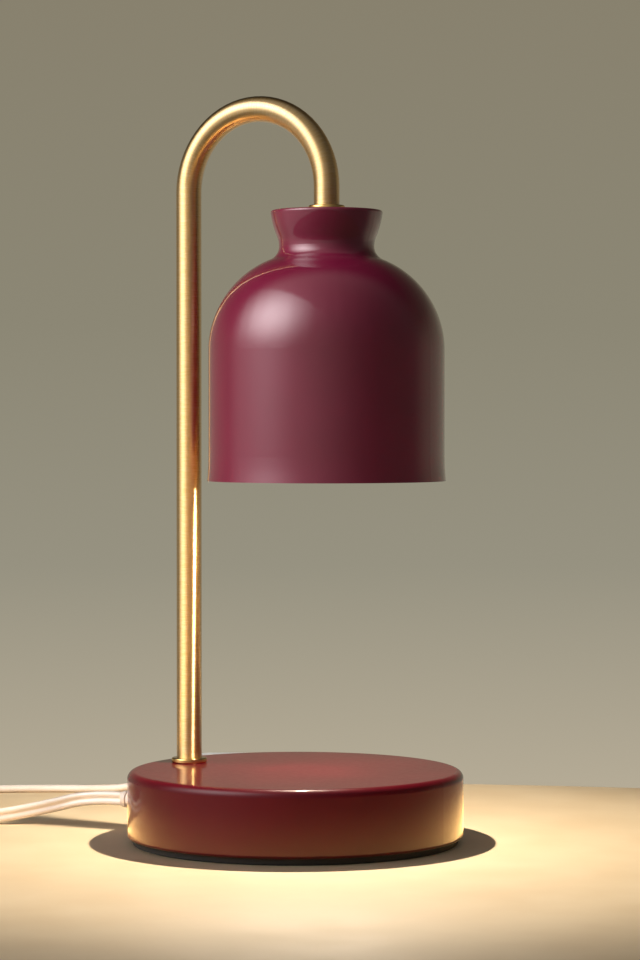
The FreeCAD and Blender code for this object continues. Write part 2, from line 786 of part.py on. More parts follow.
def bulb_cap():
    """Ceramic cap with a tapered foot, drilled for the capsule."""
    radius = cap_diameter / 2
    cap = lathe_points([(0, cap_bottom), (bulb_neck_radius, cap_bottom),
                        (radius, cap_bottom + cap_shoulder), (radius, cap_top - cap_taper_height),
                        (radius - cap_taper, cap_top), (0, cap_top)])
    cap = cap.cut(cylinder(capsule_diameter + 2 * push_gap, cap_bottom - cut_past,
                           cap_bottom + capsule_seat))
    return moved(cap, V(shade_x, 0, 0))


def bulb_pins():
    pins = []
    for side in (-1, 1):
        x = side * pin_spacing / 2
        head = cylinder(pin_head_diameter, head_bottom, head_top, x)
        head = round_edges(head, pin_head_round, lambda e: is_flat_edge(e, head_top))
        pin = head.fuse(cylinder(pin_diameter, cap_top, head_bottom, x)).removeSplitter()
        pins.append(moved(pin, V(shade_x, 0, 0)))
    return group(pins)


def bulb_capsule():
    """Quartz capsule standing out of the cap into the bowl."""
    top = cap_bottom + capsule_seat
    low = top - capsule_length
    capsule = cylinder(capsule_diameter, low, top)
    capsule = round_edges(capsule, capsule_diameter / 2 - capsule_flat,
                          lambda e: is_flat_edge(e, low))
    return moved(capsule, V(shade_x, 0, 0))


# ---- Dimmer, in its own frame: cord along X, wheel towards +Y ----
def rounded_block(length, width, corner, bottom, top):
    body = block((length, width, top - bottom), (0, 0), bottom)
    return round_edges(body, corner, lambda e: e.BoundBox.ZLength > 1e-3)


def dimmer_form(margin, edge_round):
    """Housing's form moved in by margin: its outside for 0, its hollow for one wall."""
    body = rounded_block(dimmer_length - 2 * margin, dimmer_width - 2 * margin,
                         dimmer_corner - margin, margin, dimmer_height - margin)
    return round_edges(body, edge_round,
                       lambda e: is_flat_edge(e, margin) or is_flat_edge(e, dimmer_height - margin))


def boot_form(grow):
    """One cord boot along +X from the middle of the end wall: inner flange, neck and tail."""
    inner, outer = dimmer_length / 2 - dimmer_wall, dimmer_length / 2
    neck, flange = boot_diameter / 2 + grow, boot_diameter / 2 + boot_flange_step + grow
    start, end = inner - boot_flange - grow, outer + boot_length
    profile = [(0, start), (flange, start), (flange, inner), (neck, inner), (neck, outer)]
    if grow:
        profile += [(neck, outer + cut_past), (0, outer + cut_past)]
    else:
        groove, begins = neck - boot_groove_depth, outer + boot_groove_start
        ends = begins + boot_groove_width
        profile += [(neck, begins), (groove, begins + boot_groove_bevel),
                    (groove, ends - boot_groove_bevel), (neck, ends),
                    (boot_tip_diameter / 2, end), (0, end)]
    return moved(turned(lathe_points(profile), 90, V(0, 1, 0)), V(0, 0, dimmer_parting))


def dimmer_shell(bottom, top):
    """The part of the housing between two heights, hollowed, with the wheel's slot, boot holes
    and screw bosses."""
    slice_box = block((2 * dimmer_length, 2 * dimmer_width, top - bottom), (0, 0), bottom)
    shell = dimmer_form(0, dimmer_edge_round).common(slice_box)
    shell = shell.cut(dimmer_form(dimmer_wall, dimmer_inside_round))
    for side in (-1, 1):
        x = side * dimmer_screw_spacing / 2
        boss = cylinder(dimmer_boss_diameter, max(bottom, dimmer_wall / 2),
                        min(top, dimmer_height - dimmer_wall / 2), x)
        shell = shell.fuse(boss)
    wheel_way = cylinder(wheel_diameter + 2 * loose_gap, wheel_bottom - rubbing_gap,
                         wheel_top + rubbing_gap, 0, wheel_offset)
    return shell.cut(wheel_way)


def dimmer_bottom_shell():
    shell = dimmer_shell(0, dimmer_parting)
    shell = shell.cut(boot_form(push_gap)).cut(turned(boot_form(push_gap), 180))
    for side in (-1, 1):
        x = side * dimmer_screw_spacing / 2
        shell = shell.cut(cylinder(dimmer_screw_diameter + 2 * push_gap, -cut_past,
                                   dimmer_parting + cut_past, x))
        shell = shell.cut(cylinder(2 * dimmer_screw_diameter, -cut_past, dimmer_screw_seat, x))
    return shell.removeSplitter()


def dimmer_top_shell():
    """Upper shell, with the spindle's upper bearing under its ceiling."""
    shell = dimmer_shell(dimmer_parting, dimmer_height)
    shell = shell.cut(boot_form(push_gap)).cut(turned(boot_form(push_gap), 180))
    bearing = cylinder(spindle_diameter + 2 * bearing_wall, wheel_top + rubbing_gap,
                       dimmer_height - dimmer_wall / 2, 0, wheel_offset)
    shell = shell.fuse(bearing)
    shell = shell.cut(cylinder(spindle_diameter + 2 * turning_gap, wheel_top,
                               dimmer_height - dimmer_wall, 0, wheel_offset))
    for side in (-1, 1):
        x = side * dimmer_screw_spacing / 2
        shell = shell.cut(cylinder(dimmer_screw_diameter, dimmer_parting - cut_past,
                                   dimmer_height - 2 * dimmer_wall, x))
    return shell.removeSplitter()


def dimmer_wheel():
    """Thumb wheel with a fluted edge, pushed onto the spindle."""
    wheel = ring(wheel_diameter, spindle_diameter + 2 * push_gap, wheel_bottom, wheel_top)
    for flute in range(wheel_flutes):
        spot = polar(wheel_diameter / 2 + flute_out, 360 * flute / wheel_flutes)
        wheel = wheel.cut(cylinder(flute_diameter, wheel_bottom - cut_past, wheel_top + cut_past,
                                   spot.x, spot.y))
    return moved(wheel, V(0, wheel_offset, 0))


def dimmer_spindle():
    return cylinder(spindle_diameter, board_top + spindle_foot,
                    dimmer_height - dimmer_wall - rubbing_gap, 0, wheel_offset)


def dimmer_potentiometer():
    body = cylinder(pot_diameter, board_top, pot_top, 0, wheel_offset)
    return body.cut(cylinder(spindle_diameter + 2 * turning_gap,
                             board_top + spindle_foot - rubbing_gap, pot_top + cut_past,
                             0, wheel_offset))


def dimmer_board():
    return block((board_length, board_width, board_thickness), (0, 0), board_bottom)


def dimmer_components():
    """Triac and two small parts flat on the board, beside the potentiometer."""
    triac = block((5.0, 7.0, 2.6), (-11.5, -5.5), board_top)
    coil = cylinder(5.0, board_top, board_top + 2.8, 12.0, -6.0)
    film = block((7.0, 3.2, 2.8), (1.0, -7.4), board_top)
    return group([triac, coil, film])


def dimmer_screws():
    screws = []
    for side in (-1, 1):
        x = side * dimmer_screw_spacing / 2
        head = cylinder(2 * dimmer_screw_diameter - loose_gap, dimmer_screw_sink,
                        dimmer_screw_seat, x)
        arm = block((cross_length, cross_width, cross_depth), (0, 0), dimmer_screw_sink)
        cross = moved(arm.fuse(turned(arm, 90)), V(x, 0, 0))
        shank = cylinder(dimmer_screw_diameter, dimmer_screw_seat,
                         dimmer_height - 2 * dimmer_wall - screw_end_gap, x)
        screws.append(head.cut(cross).fuse(shank).removeSplitter())
    return group(screws)


def dimmer_boots():
    return group([boot_form(0), turned(boot_form(0), 180)])


def on_dimmer(shape):
    return placed(shape, dimmer_place, dimmer_turn)


def dimmer_port(side, beyond=0.0):
    """Point on the cord's axis at the tip of one boot, or that far beyond it."""
    local = V(side * (dimmer_length / 2 + boot_length + beyond), 0, dimmer_parting)
    return place_point(local, dimmer_place, dimmer_turn)


# ---- Plug, in its own frame: cord end at the origin, blades towards +X ----
def plug_outline():
    """Grip with a waisted plan, square in section."""
    start, end = plug_boot_length, plug_boot_length + plug_length
    half, waist = plug_width / 2, plug_waist / 2
    middle = start + plug_length * plug_waist_share
    side = []
    for sign in (1, -1):
        side.append([V(start, sign * (waist - plug_start_inset), 0), V(middle, sign * waist, 0),
                     V(end - plug_head, sign * half, 0), V(end, sign * half, 0)])
    wires = []
    for points in side:
        curve = Part.BSplineCurve()
        curve.interpolate(points[:3])
        wires.append([curve.toShape(), edge(points[2], points[3])])
    outline = Part.Wire([wires[0][0], wires[0][1], edge(side[0][3], side[1][3]), wires[1][1],
                         wires[1][0], edge(side[1][0], side[0][0])])
    return Part.Face(outline).extrude(V(0, 0, plug_height))


def plug_port(beyond=0.0):
    """Point on the cord's axis at the boot's tip, or that far before it."""
    return place_point(V(-beyond, 0, plug_height / 2), plug_place, plug_turn)


def blade_solids():
    start = plug_boot_length + plug_length - blade_root
    blades = []
    for sign in (1, -1):
        corner = V(start, sign * blade_spacing / 2 - blade_thickness / 2,
                   plug_height / 2 - blade_width / 2)
        blades.append(Part.makeBox(blade_root + blade_length, blade_thickness, blade_width, corner))
    return blades


def plug_body():
    """Moulded grip with a ribbed tapered boot, pocketed for the blades."""
    grip = plug_outline()
    grip = round_edges(grip, plug_corner, lambda e: e.BoundBox.ZLength > 1)
    grip = round_edges(grip, plug_edge_round,
                       lambda e: is_flat_edge(e, 0) or is_flat_edge(e, plug_height))
    tip, root = cord_width / 2 + plug_boot_wall, plug_boot_root / 2
    profile = [(0, 0)]
    pitch = plug_boot_length / plug_ribs
    for rib in range(plug_ribs):
        narrow = tip + (root - tip) * rib / plug_ribs
        wide = tip + (root - tip) * (rib + 1) / plug_ribs
        low = rib * pitch
        crest = low + plug_ramp_share * pitch
        groove = crest + plug_fall_share * pitch
        profile += [(narrow, low), (wide - plug_rib_step, crest), (wide - plug_rib_depth, groove),
                    (wide - plug_rib_depth, groove + plug_slot_share * pitch)]
    deep = plug_boot_length + plug_boot_sink
    profile += [(root, plug_boot_length), (root, deep), (0, deep)]
    boot = moved(turned(lathe_points(profile), 90, V(0, 1, 0)), V(0, 0, plug_height / 2))
    body = grip.fuse(boot)
    for blade in blade_solids():
        body = body.cut(blade)
    return placed(body.removeSplitter(), plug_place, plug_turn)


def plug_blades():
    """Two flat blades with rounded tips and a locking hole each."""
    blades = []
    for blade in blade_solids():
        box = blade.BoundBox
        tips = [e for e in blade.Edges if abs(e.BoundBox.XMin - box.XMax) < 1e-4
                and e.BoundBox.YLength > 0.1]
        hole = Part.makeCylinder(blade_hole / 2, blade_thickness + 2 * cut_past,
                                 V(box.XMax - blade_hole_inset, box.YMin - cut_past,
                                   plug_height / 2), V(0, 1, 0))
        blades.append(blade.makeFillet(blade_tip_round, tips).cut(hole))
    return placed(group(blades), plug_place, plug_turn)


# ---- Cord ----
def gland_end(beyond=0.0):
    return V(-base_radius - gland_tail - beyond, 0, gland_height)


def cord_lead():
    """From the base out to a wide bend and back behind the base to the dimmer."""
    low = cord_floor
    return cord_tube("cord_lead", [
        gland_end(), gland_end(16.5), V(-112.5, -7.0, 7.0), V(-130.5, -20.0, low),
        V(-153.0, -36.0, low), V(-193.0, -27.0, low), V(-216.5, 10.5, low),
        V(-207.5, 52.5, low), V(-180.5, 73.5, low), V(-158.5, 85.5, low),
        dimmer_port(-1, 17.0), dimmer_port(-1)])


def cord_run():
    """From the dimmer round to the outside of the coil's lower layer."""
    low = coil_bottom + 0.25 * coil_height
    return cord_tube("cord_run", [dimmer_port(1), dimmer_port(1, 17.0), V(-28.5, 153.0, 5.5),
                                  V(-13.2, 144.3, low), V(-4.2, 129.0, low)])


def cord_coil():
    """Outer shape of the wound length: two layers of cord on edge."""
    middle = (coil_inner_radius + coil_outer_radius) / 2
    body = ring(2 * coil_outer_radius, 2 * coil_inner_radius, coil_bottom, coil_bottom + coil_height)
    body = body.makeFillet(cord_width / 2 - rubbing_gap,
                           [e for e in body.Edges if e.BoundBox.ZLength < 1e-4
                            and e.BoundBox.XLength > middle])
    return moved(body, coil_place)


def cord_tail():
    """From the coil's upper layer to the plug."""
    return cord_tube("cord_tail", [V(-26.5, 72.3, tail_z), plug_port(17.0), plug_port()])


def coil_tie():
    """Twist tie round the coil: a band, and its two ends twisted together on top."""
    middle = (coil_inner_radius + coil_outer_radius) / 2
    depth = coil_outer_radius - coil_inner_radius + 2 * rubbing_gap
    outer = block((depth + 2 * tie_thickness, tie_width, coil_height + 2 * tie_thickness),
                  (middle, 0), coil_bottom - tie_thickness)
    inner = block((depth, 2 * tie_width, coil_height), (middle, 0), coil_bottom)
    start = V(middle - tie_twist_start, 0, coil_bottom + coil_height + tie_twist_rise)
    twist = Part.makeCylinder(tie_twist_diameter / 2, tie_twist_length, start, V(0.93, 0.36, 0.05))
    return placed(outer.cut(inner).fuse(twist).removeSplitter(), coil_place, tie_angle)


# ---- Write one file per piece ----
pieces = {
    "base_shell": base_shell(),
    "counterweight": counterweight(),
    "base_plate": base_plate(),
    "base_plate_screws": base_plate_screws(),
    "base_pad": base_pad(),
    "cord_gland": cord_gland(),
    "supply_cores": supply_cores(),
    "crimp_caps": crimp_caps(),
    "arm_tube": arm_tube(),
    "arm_leads": arm_leads(),
    "foot_collar": collar(foot_x, base_height),
    "foot_washer": toothed_washer(foot_x, pocket_ceiling - washer_thickness),
    "foot_nut": hex_nut(foot_x, pocket_ceiling - washer_thickness - nut_height),
    "shade": shade(),
    "shade_collar": collar(shade_x, shade_top),
    "neck_washer": toothed_washer(shade_x, neck_washer_z),
    "neck_nut": hex_nut(shade_x, neck_nut_z),
    "lampholder_bracket": lampholder_bracket(),
    "bracket_screws": bracket_screws(),
    "lampholder": lampholder(),
    "lampholder_contacts": lampholder_contacts(),
    "bulb_reflector": bulb_reflector(),
    "bulb_lens": bulb_lens(),
    "bulb_cap": bulb_cap(),
    "bulb_pins": bulb_pins(),
    "bulb_capsule": bulb_capsule(),
    "dimmer_top_shell": on_dimmer(dimmer_top_shell()),
    "dimmer_bottom_shell": on_dimmer(dimmer_bottom_shell()),
    "dimmer_wheel": on_dimmer(dimmer_wheel()),
    "dimmer_spindle": on_dimmer(dimmer_spindle()),
    "dimmer_potentiometer": on_dimmer(dimmer_potentiometer()),
    "dimmer_board": on_dimmer(dimmer_board()),
    "dimmer_components": on_dimmer(dimmer_components()),
    "dimmer_screws": on_dimmer(dimmer_screws()),
    "dimmer_boots": on_dimmer(dimmer_boots()),
    "cord_lead": cord_lead(),
    "cord_run": cord_run(),
    "cord_coil": cord_coil(),
    "cord_tail": cord_tail(),
    "coil_tie": coil_tie(),
    "plug_body": plug_body(),
    "plug_blades": plug_blades(),
}

os.makedirs("parts", exist_ok=True)
for name, shape in pieces.items():
    box = shape.BoundBox
    print(name, "solids", len(shape.Solids), "valid", shape.isValid(), "volume",
          round(shape.Volume), "z", round(box.ZMin, 2), round(box.ZMax, 2))
    shape.exportStep("parts/" + name + ".step")
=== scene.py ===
import bpy
import json
import math
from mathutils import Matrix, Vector


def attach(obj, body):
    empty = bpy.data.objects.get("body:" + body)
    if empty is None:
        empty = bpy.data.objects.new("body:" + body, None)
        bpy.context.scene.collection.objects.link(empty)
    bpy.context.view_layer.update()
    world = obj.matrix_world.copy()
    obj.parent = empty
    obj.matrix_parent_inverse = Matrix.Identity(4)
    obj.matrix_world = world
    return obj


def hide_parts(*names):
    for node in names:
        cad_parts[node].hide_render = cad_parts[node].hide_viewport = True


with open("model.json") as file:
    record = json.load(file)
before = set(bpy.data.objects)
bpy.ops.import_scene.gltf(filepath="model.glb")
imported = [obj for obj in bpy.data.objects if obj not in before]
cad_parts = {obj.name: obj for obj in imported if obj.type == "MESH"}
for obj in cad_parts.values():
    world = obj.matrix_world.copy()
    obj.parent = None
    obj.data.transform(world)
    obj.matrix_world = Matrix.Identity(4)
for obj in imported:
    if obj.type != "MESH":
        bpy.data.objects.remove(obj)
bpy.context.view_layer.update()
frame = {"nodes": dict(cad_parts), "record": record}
nodes = frame["nodes"]
print("frame loaded,", len(nodes), "nodes")

# Candle warmer lamp. Metres, the lamp stands on z = 0, +X runs from the tube's foot to the shade.
shadeAxis = 0.014                                   # x of the upright axis of shade and bulb
noiseSpan = {"From Min": 0.35, "From Max": 0.65}    # most of a noise's values lie in this range
smoothAngle = math.radians(40)                      # edges sharper than this stay crisp


def hexColor(code):
    # sRGB hex to linear
    parts = [int(code[i:i + 2], 16) / 255 for i in (0, 2, 4)]
    return [p / 12.92 if p <= 0.04045 else ((p + 0.055) / 1.055) ** 2.4 for p in parts] + [1.0]


def addNode(owner, kind, settings=(), links=()):
    # settings are inputs by name or number, or properties; links are (input, source socket)
    node = owner.node_tree.nodes.new(kind)
    for key, value in dict(settings).items():
        if isinstance(key, int) or key in node.inputs:
            node.inputs[key].default_value = value
        else:
            setattr(node, key, value)
    for key, source in dict(links).items():
        owner.node_tree.links.new(source, node.inputs[key])
    return node


def newMaterial(name, **surface):
    material = bpy.data.materials.new(name)
    material.use_nodes = True
    shader = material.node_tree.nodes["Principled BSDF"]
    for key, value in surface.items():
        shader.inputs[key.replace("_", " ")].default_value = value
    return material, shader


def wire(owner, source, target):
    owner.node_tree.links.new(source, target)


def link(thing):
    bpy.context.scene.collection.objects.link(thing)
    return thing


def deselectAll():
    if bpy.context.object and bpy.context.object.mode != "OBJECT":
        bpy.ops.object.mode_set(mode="OBJECT")
    bpy.ops.object.select_all(action="DESELECT")


def settle():
    # place, turn and size of what is selected go into its mesh
    bpy.ops.object.transform_apply(location=True, rotation=True, scale=True)


def joinPieces(pieces):
    # the others become part of the first
    deselectAll()
    for piece in pieces:
        piece.select_set(True)
    bpy.context.view_layer.objects.active = pieces[0]
    bpy.ops.object.join()
    return pieces[0]


def dress(piece, *materials):
    piece.data.materials.clear()
    for material in materials:
        piece.data.materials.append(material)


def eased(share):
    # from 0 to 1 with a soft start and end
    return share * share * (3 - 2 * share)


# camera at a table's height, a little above the base's top
cameraSet = {"lens": 113.3, "place": (0.6022, -0.9996, 0.1652), "heading": 30.6, "tilt": 1.23}
camera = link(bpy.data.objects.new("camera", bpy.data.cameras.new("camera")))
camera.data.lens = cameraSet["lens"]
camera.location = cameraSet["place"]
camera.rotation_euler = (math.radians(90 - cameraSet["tilt"]), 0, math.radians(cameraSet["heading"]))
camera.data.clip_start, camera.data.clip_end = 0.05, 20
bpy.context.scene.camera = camera
print("camera set")

# flat twin flex: two round cores joined by a thin web, each with its wire inside
flexSet = {"width": 0.0056, "thickness": 0.0028, "web": 0.0017, "wire": 0.00125, "onEdge": 0.00285,
           "laidFlat": 0.00155, "coreSides": 12, "wireSides": 8, "leadSteps": 14, "tailSteps": 8}
dimmerSet = {"place": (-0.0935, 0.1248), "turn": 30.6, "reach": 0.038, "height": 0.007}
coilSet = {"centre": (-0.0299, 0.1055), "outer": 0.0345, "pitch": 0.00305, "start": 43.6,
           "sweep": 2647.8, "perTurn": 14, "low": 0.00365, "high": 0.0095, "climb": 0.22,
           "looseness": 0.00015, "waves": 5.3}


def dimmerPort(side, beyond=0.0, height=None):
    # tip of one boot of the dimmer, or that far past it
    angle = math.radians(dimmerSet["turn"])
    reach = side * (dimmerSet["reach"] + beyond)
    return (dimmerSet["place"][0] + reach * math.cos(angle),
            dimmerSet["place"][1] + reach * math.sin(angle), height or dimmerSet["height"])


def coilPoints():
    # lower layer winds in, then the upper layer winds out again, clockwise from above
    count = round(coilSet["sweep"] / 360 * coilSet["perTurn"])
    outside = 1 / math.cos(math.pi / coilSet["perTurn"])    # the spline runs inside its points
    half = coilSet["sweep"] / 720
    points = []
    for step in range(count + 1):
        turns = coilSet["sweep"] / 360 * step / count
        inwards = half - abs(turns - half)
        radius = (coilSet["outer"] - coilSet["pitch"] * inwards) * outside
        radius += coilSet["looseness"] * math.sin(coilSet["waves"] * turns)
        rise = eased(min(max((turns - half) / coilSet["climb"] + 0.5, 0), 1))
        angle = math.radians(coilSet["start"] - 360 * turns)
        points.append((coilSet["centre"][0] + radius * math.cos(angle),
                       coilSet["centre"][1] + radius * math.sin(angle),
                       coilSet["low"] + (coilSet["high"] - coilSet["low"]) * rise))
    return points


edge, flat = flexSet["onEdge"], flexSet["laidFlat"]
leadRoute = [(-0.080, 0, 0.0115), (-0.0965, 0, 0.0115), (-0.1125, -0.007, 0.007),
             (-0.1305, -0.020, edge), (-0.153, -0.036, edge), (-0.193, -0.027, edge),
             (-0.2165, 0.0105, 0.0021), (-0.2075, 0.0525, flat), (-0.1805, 0.0735, flat),
             (-0.1585, 0.0855, flat), dimmerPort(-1, 0.021, flat), dimmerPort(-1, 0.009, 0.006),
             dimmerPort(-1)]
runRoute = [dimmerPort(1), dimmerPort(1, 0.017), (-0.0285, 0.153, 0.0055), (-0.0132, 0.1443, 0.00375)]
tailRoute = [(-0.0426, 0.0693, 0.007), (-0.0596, 0.0693, 0.007)]


def routeLine(name, points, steps):
    # points along the route's NURBS spline
    curve = bpy.data.curves.new(name, "CURVE")
    curve.dimensions = "3D"
    spline = curve.splines.new("NURBS")
    spline.points.add(len(points) - 1)
    for spot, point in zip(spline.points, points):
        spot.co = (*point, 1)
    spline.order_u = 3
    spline.use_endpoint_u = True
    curve.resolution_u = spline.resolution_u = steps
    holder = link(bpy.data.objects.new(name, curve))
    line = bpy.data.meshes.new_from_object(holder)
    found = [v.co.copy() for v in line.vertices]
    bpy.data.objects.remove(holder)
    bpy.data.meshes.remove(line)
    bpy.data.curves.remove(curve)
    return found


def twinSection():
    # outline of the two cores and the web, and the two wires
    radius = flexSet["thickness"] / 2
    centre = flexSet["width"] / 2 - radius
    neck = math.pi - math.asin(flexSet["web"] / 2 / radius)
    wireRadius = flexSet["wire"] / 2
    outline = []
    wires = []
    for side in (1, -1):
        for step in range(flexSet["coreSides"] + 1):
            angle = -neck + 2 * neck * step / flexSet["coreSides"]
            outline.append((side * (centre + radius * math.cos(angle)), side * radius * math.sin(angle)))
        turns = [math.tau * k / flexSet["wireSides"] for k in range(flexSet["wireSides"])]
        wires.append([(side * centre + wireRadius * math.cos(turn), wireRadius * math.sin(turn))
                      for turn in turns])
    return [outline] + wires


def layFlex(name, line, turnsOver):
    # turnsOver gives (length from the start, angle of the wide side from level)
    lengths = [0.0]
    for before, after in zip(line, line[1:]):
        lengths.append(lengths[-1] + (after - before).length)
    verts, faces, slots, spread, rings = [], [], [], [], []
    for k, point in enumerate(line):
        ahead = (line[min(k + 1, len(line) - 1)] - line[max(k - 1, 0)]).normalized()
        level = Vector((0, 0, 1)).cross(ahead).normalized()
        upright = ahead.cross(level)
        angle = turnsOver[-1][1]
        for (start, first), (end, last) in zip(turnsOver, turnsOver[1:]):
            if lengths[k] <= end:
                share = min(max((lengths[k] - start) / (end - start), 0), 1)
                angle = first + (last - first) * eased(share)
                break
        angle = math.radians(angle)
        wide = level * math.cos(angle) + upright * math.sin(angle)
        rings.append((point, wide, ahead.cross(wide)))
    for kind, loop in enumerate(twinSection()):    # first the outside, then each wire
        base = len(verts)
        for point, wide, thick in rings:
            verts += [point + wide * across + thick * up for across, up in loop]
        n = len(loop)
        for k in range(len(rings) - 1):
            for j in range(n):
                a, b = base + k * n + j, base + k * n + (j + 1) % n
                faces.append((a, b, b + n, a + n))
                slots.append(min(kind, 1))
                spread.append([(j / n, lengths[k]), ((j + 1) / n, lengths[k]),
                               ((j + 1) / n, lengths[k + 1]), (j / n, lengths[k + 1])])
        last = base + (len(rings) - 1) * n
        faces += [tuple(range(base + n - 1, base - 1, -1)), tuple(range(last, last + n))]
        slots += [min(kind, 1)] * 2
        spread += [[(0, 0)] * n] * 2
    mesh = bpy.data.meshes.new(name)
    mesh.from_pydata(verts, [], faces)
    layer = mesh.uv_layers.new(name="along")
    for face, slot, corners in zip(mesh.polygons, slots, spread):
        face.material_index = slot
        face.use_smooth = True
        for loopIndex, corner in zip(face.loop_indices, corners):
            layer.data[loopIndex].uv = corner
    return link(bpy.data.objects.new(name, mesh)), lengths[-1]


leadLine = routeLine("leadRoute", leadRoute, flexSet["leadSteps"])
leadTurns = [(0, 90), (0.1, 90), (0.16, 0), (0.31, 0)]    # on edge by the base, then flat
lead, leadLength = layFlex("flexLead", leadLine, leadTurns)
tailLine = routeLine("tailRoute", runRoute + coilPoints() + tailRoute, flexSet["tailSteps"])
reach = sum((b - a).length for a, b in zip(tailLine, tailLine[1:]))
# on edge in the coil, flat at both ends
tailTurns = [(0, 0), (0.016, 0), (0.062, 90), (reach - 0.045, 90), (reach - 0.012, 0)]
tail, tailLength = layFlex("flexTail", tailLine, tailTurns)
print("flex laid,", round(leadLength, 4), "and", round(tailLength, 4), "m")

# finishes, by the record's material slots
finishes = {}


def orangePeel(material, shader, coords, paint):
    # the film's faint waves drive its gloss and relief, on the paint and on its clear top
    peel = addNode(material, "ShaderNodeTexNoise", {"Scale": 1 / paint["peel"], "Detail": 1.5},
                   {"Vector": coords}).outputs[0]
    gloss = addNode(material, "ShaderNodeMapRange", {"To Min": paint["rough"][0],
                                                     "To Max": paint["rough"][1]}, {"Value": peel})
    wire(material, gloss.outputs[0], shader.inputs["Roughness"])
    bump = addNode(material, "ShaderNodeBump", {"Strength": 1.0, "Distance": paint["relief"]},
                   {"Height": peel})
    wire(material, bump.outputs[0], shader.inputs["Normal"])
    wire(material, bump.outputs[0], shader.inputs["Coat Normal"])


# stove enamel over drawn steel: deep even wine red under a clear gloss with a faint orange peel
enamelSet = {"colors": ("460410", "4C0613"), "cloud": 0.03, "peel": 0.0021, "rough": (0.3, 0.4),
             "relief": 0.000008}
enamel, shader = newMaterial("stoveEnamel", Specular_IOR_Level=0.1, Coat_Weight=0.8, Coat_Roughness=0.05,
                              Coat_IOR=1.2)
coords = addNode(enamel, "ShaderNodeTexCoord").outputs["Object"]
cloud = addNode(enamel, "ShaderNodeTexNoise", {"Scale": 1 / enamelSet["cloud"], "Detail": 2.0},
                {"Vector": coords})
tone = addNode(enamel, "ShaderNodeMapRange", noiseSpan, {"Value": cloud.outputs[0]})
color = addNode(enamel, "ShaderNodeMix", {"data_type": "RGBA", 6: hexColor(enamelSet["colors"][0]),
                                          7: hexColor(enamelSet["colors"][1])}, {0: tone.outputs[0]})
wire(enamel, color.outputs[2], shader.inputs["Base Color"])
orangePeel(enamel, shader, coords, enamelSet)
finishes["burgundy_enamel"] = enamel

# the same wine red as a sprayed lacquer on the spun shade, smoother, and a heat proof white inside the bell
lacquerSet = {"outside": ("6D0E2F", "731034"), "inside": ("D9D4C8", "E2DDD2"), "upwards": 0.2,
              "cloud": 0.04, "peel": 0.0016, "rough": (0.3, 0.4), "relief": 0.000003}
lacquer, shader = newMaterial("sprayLacquer", Specular_IOR_Level=0.2, Coat_Weight=1.0, Coat_Roughness=0.04)
coords = addNode(lacquer, "ShaderNodeTexCoord").outputs["Object"]
cloud = addNode(lacquer, "ShaderNodeTexNoise", {"Scale": 1 / lacquerSet["cloud"], "Detail": 2.0},
                {"Vector": coords})
tone = addNode(lacquer, "ShaderNodeMapRange", noiseSpan, {"Value": cloud.outputs[0]})
coats = {}
for side in ("inside", "outside"):
    first, second = lacquerSet[side]
    coats[side] = addNode(lacquer, "ShaderNodeMix", {"data_type": "RGBA", 6: hexColor(first),
                                                     7: hexColor(second)}, {0: tone.outputs[0]}).outputs[2]
# the outside faces away from the shade's axis and a little up
fromAxis = addNode(lacquer, "ShaderNodeVectorMath", {"operation": "SUBTRACT", 1: (shadeAxis, 0, 0)},
                   {0: coords})
radial = addNode(lacquer, "ShaderNodeVectorMath", {"operation": "MULTIPLY", 1: (1, 1, 0)},
                 {0: fromAxis.outputs[0]})
outwards = addNode(lacquer, "ShaderNodeVectorMath", {"operation": "NORMALIZE"}, {0: radial.outputs[0]})
raised = addNode(lacquer, "ShaderNodeVectorMath", {"operation": "ADD", 1: (0, 0, lacquerSet["upwards"])},
                 {0: outwards.outputs[0]})
normal = addNode(lacquer, "ShaderNodeNewGeometry").outputs["True Normal"]
facing = addNode(lacquer, "ShaderNodeVectorMath", {"operation": "DOT_PRODUCT"},
                 {0: raised.outputs[0], 1: normal})
isOutside = addNode(lacquer, "ShaderNodeMath", {"operation": "GREATER_THAN", 1: 0.0},
                    {0: facing.outputs["Value"]})
color = addNode(lacquer, "ShaderNodeMix", {"data_type": "RGBA"},
                {0: isOutside.outputs[0], 6: coats["inside"], 7: coats["outside"]})
wire(lacquer, color.outputs[2], shader.inputs["Base Color"])
orangePeel(lacquer, shader, coords, lacquerSet)
finishes["burgundy_lacquer"] = lacquer

# satin brass under clear lacquer, brushed round the tube: scratches drawn 0.3 mm wide to show, which spread
# each gleam along the tube
tubeSet = {"arch": (-0.0175, 0, 0.2525), "archRadius": 0.0315, "scratch": 0.0003, "length": 0.004,
           "colors": ("CFA868", "DEBE8A"), "rough": (0.36, 0.44), "relief": 0.0000006}
brushed, shader = newMaterial("brushedBrass", Metallic=1.0, Anisotropic=1.0, Coat_Weight=1.0,
                              Coat_Roughness=0.05)
coords = addNode(brushed, "ShaderNodeTexCoord").outputs["Object"]
fromArch = addNode(brushed, "ShaderNodeVectorMath", {"operation": "SUBTRACT", 1: tubeSet["arch"]},
                   {0: coords})
parts = addNode(brushed, "ShaderNodeSeparateXYZ", {}, {0: fromArch.outputs[0]}).outputs
above = addNode(brushed, "ShaderNodeMath", {"operation": "MAXIMUM", 1: 0.0}, {0: parts["Z"]}).outputs[0]
below = addNode(brushed, "ShaderNodeMath", {"operation": "MINIMUM", 1: 0.0}, {0: parts["Z"]}).outputs[0]
sideways = addNode(brushed, "ShaderNodeMath", {"operation": "ABSOLUTE"}, {0: parts["X"]}).outputs[0]
swing = addNode(brushed, "ShaderNodeMath", {"operation": "ARCTAN2"}, {0: above, 1: sideways}).outputs[0]
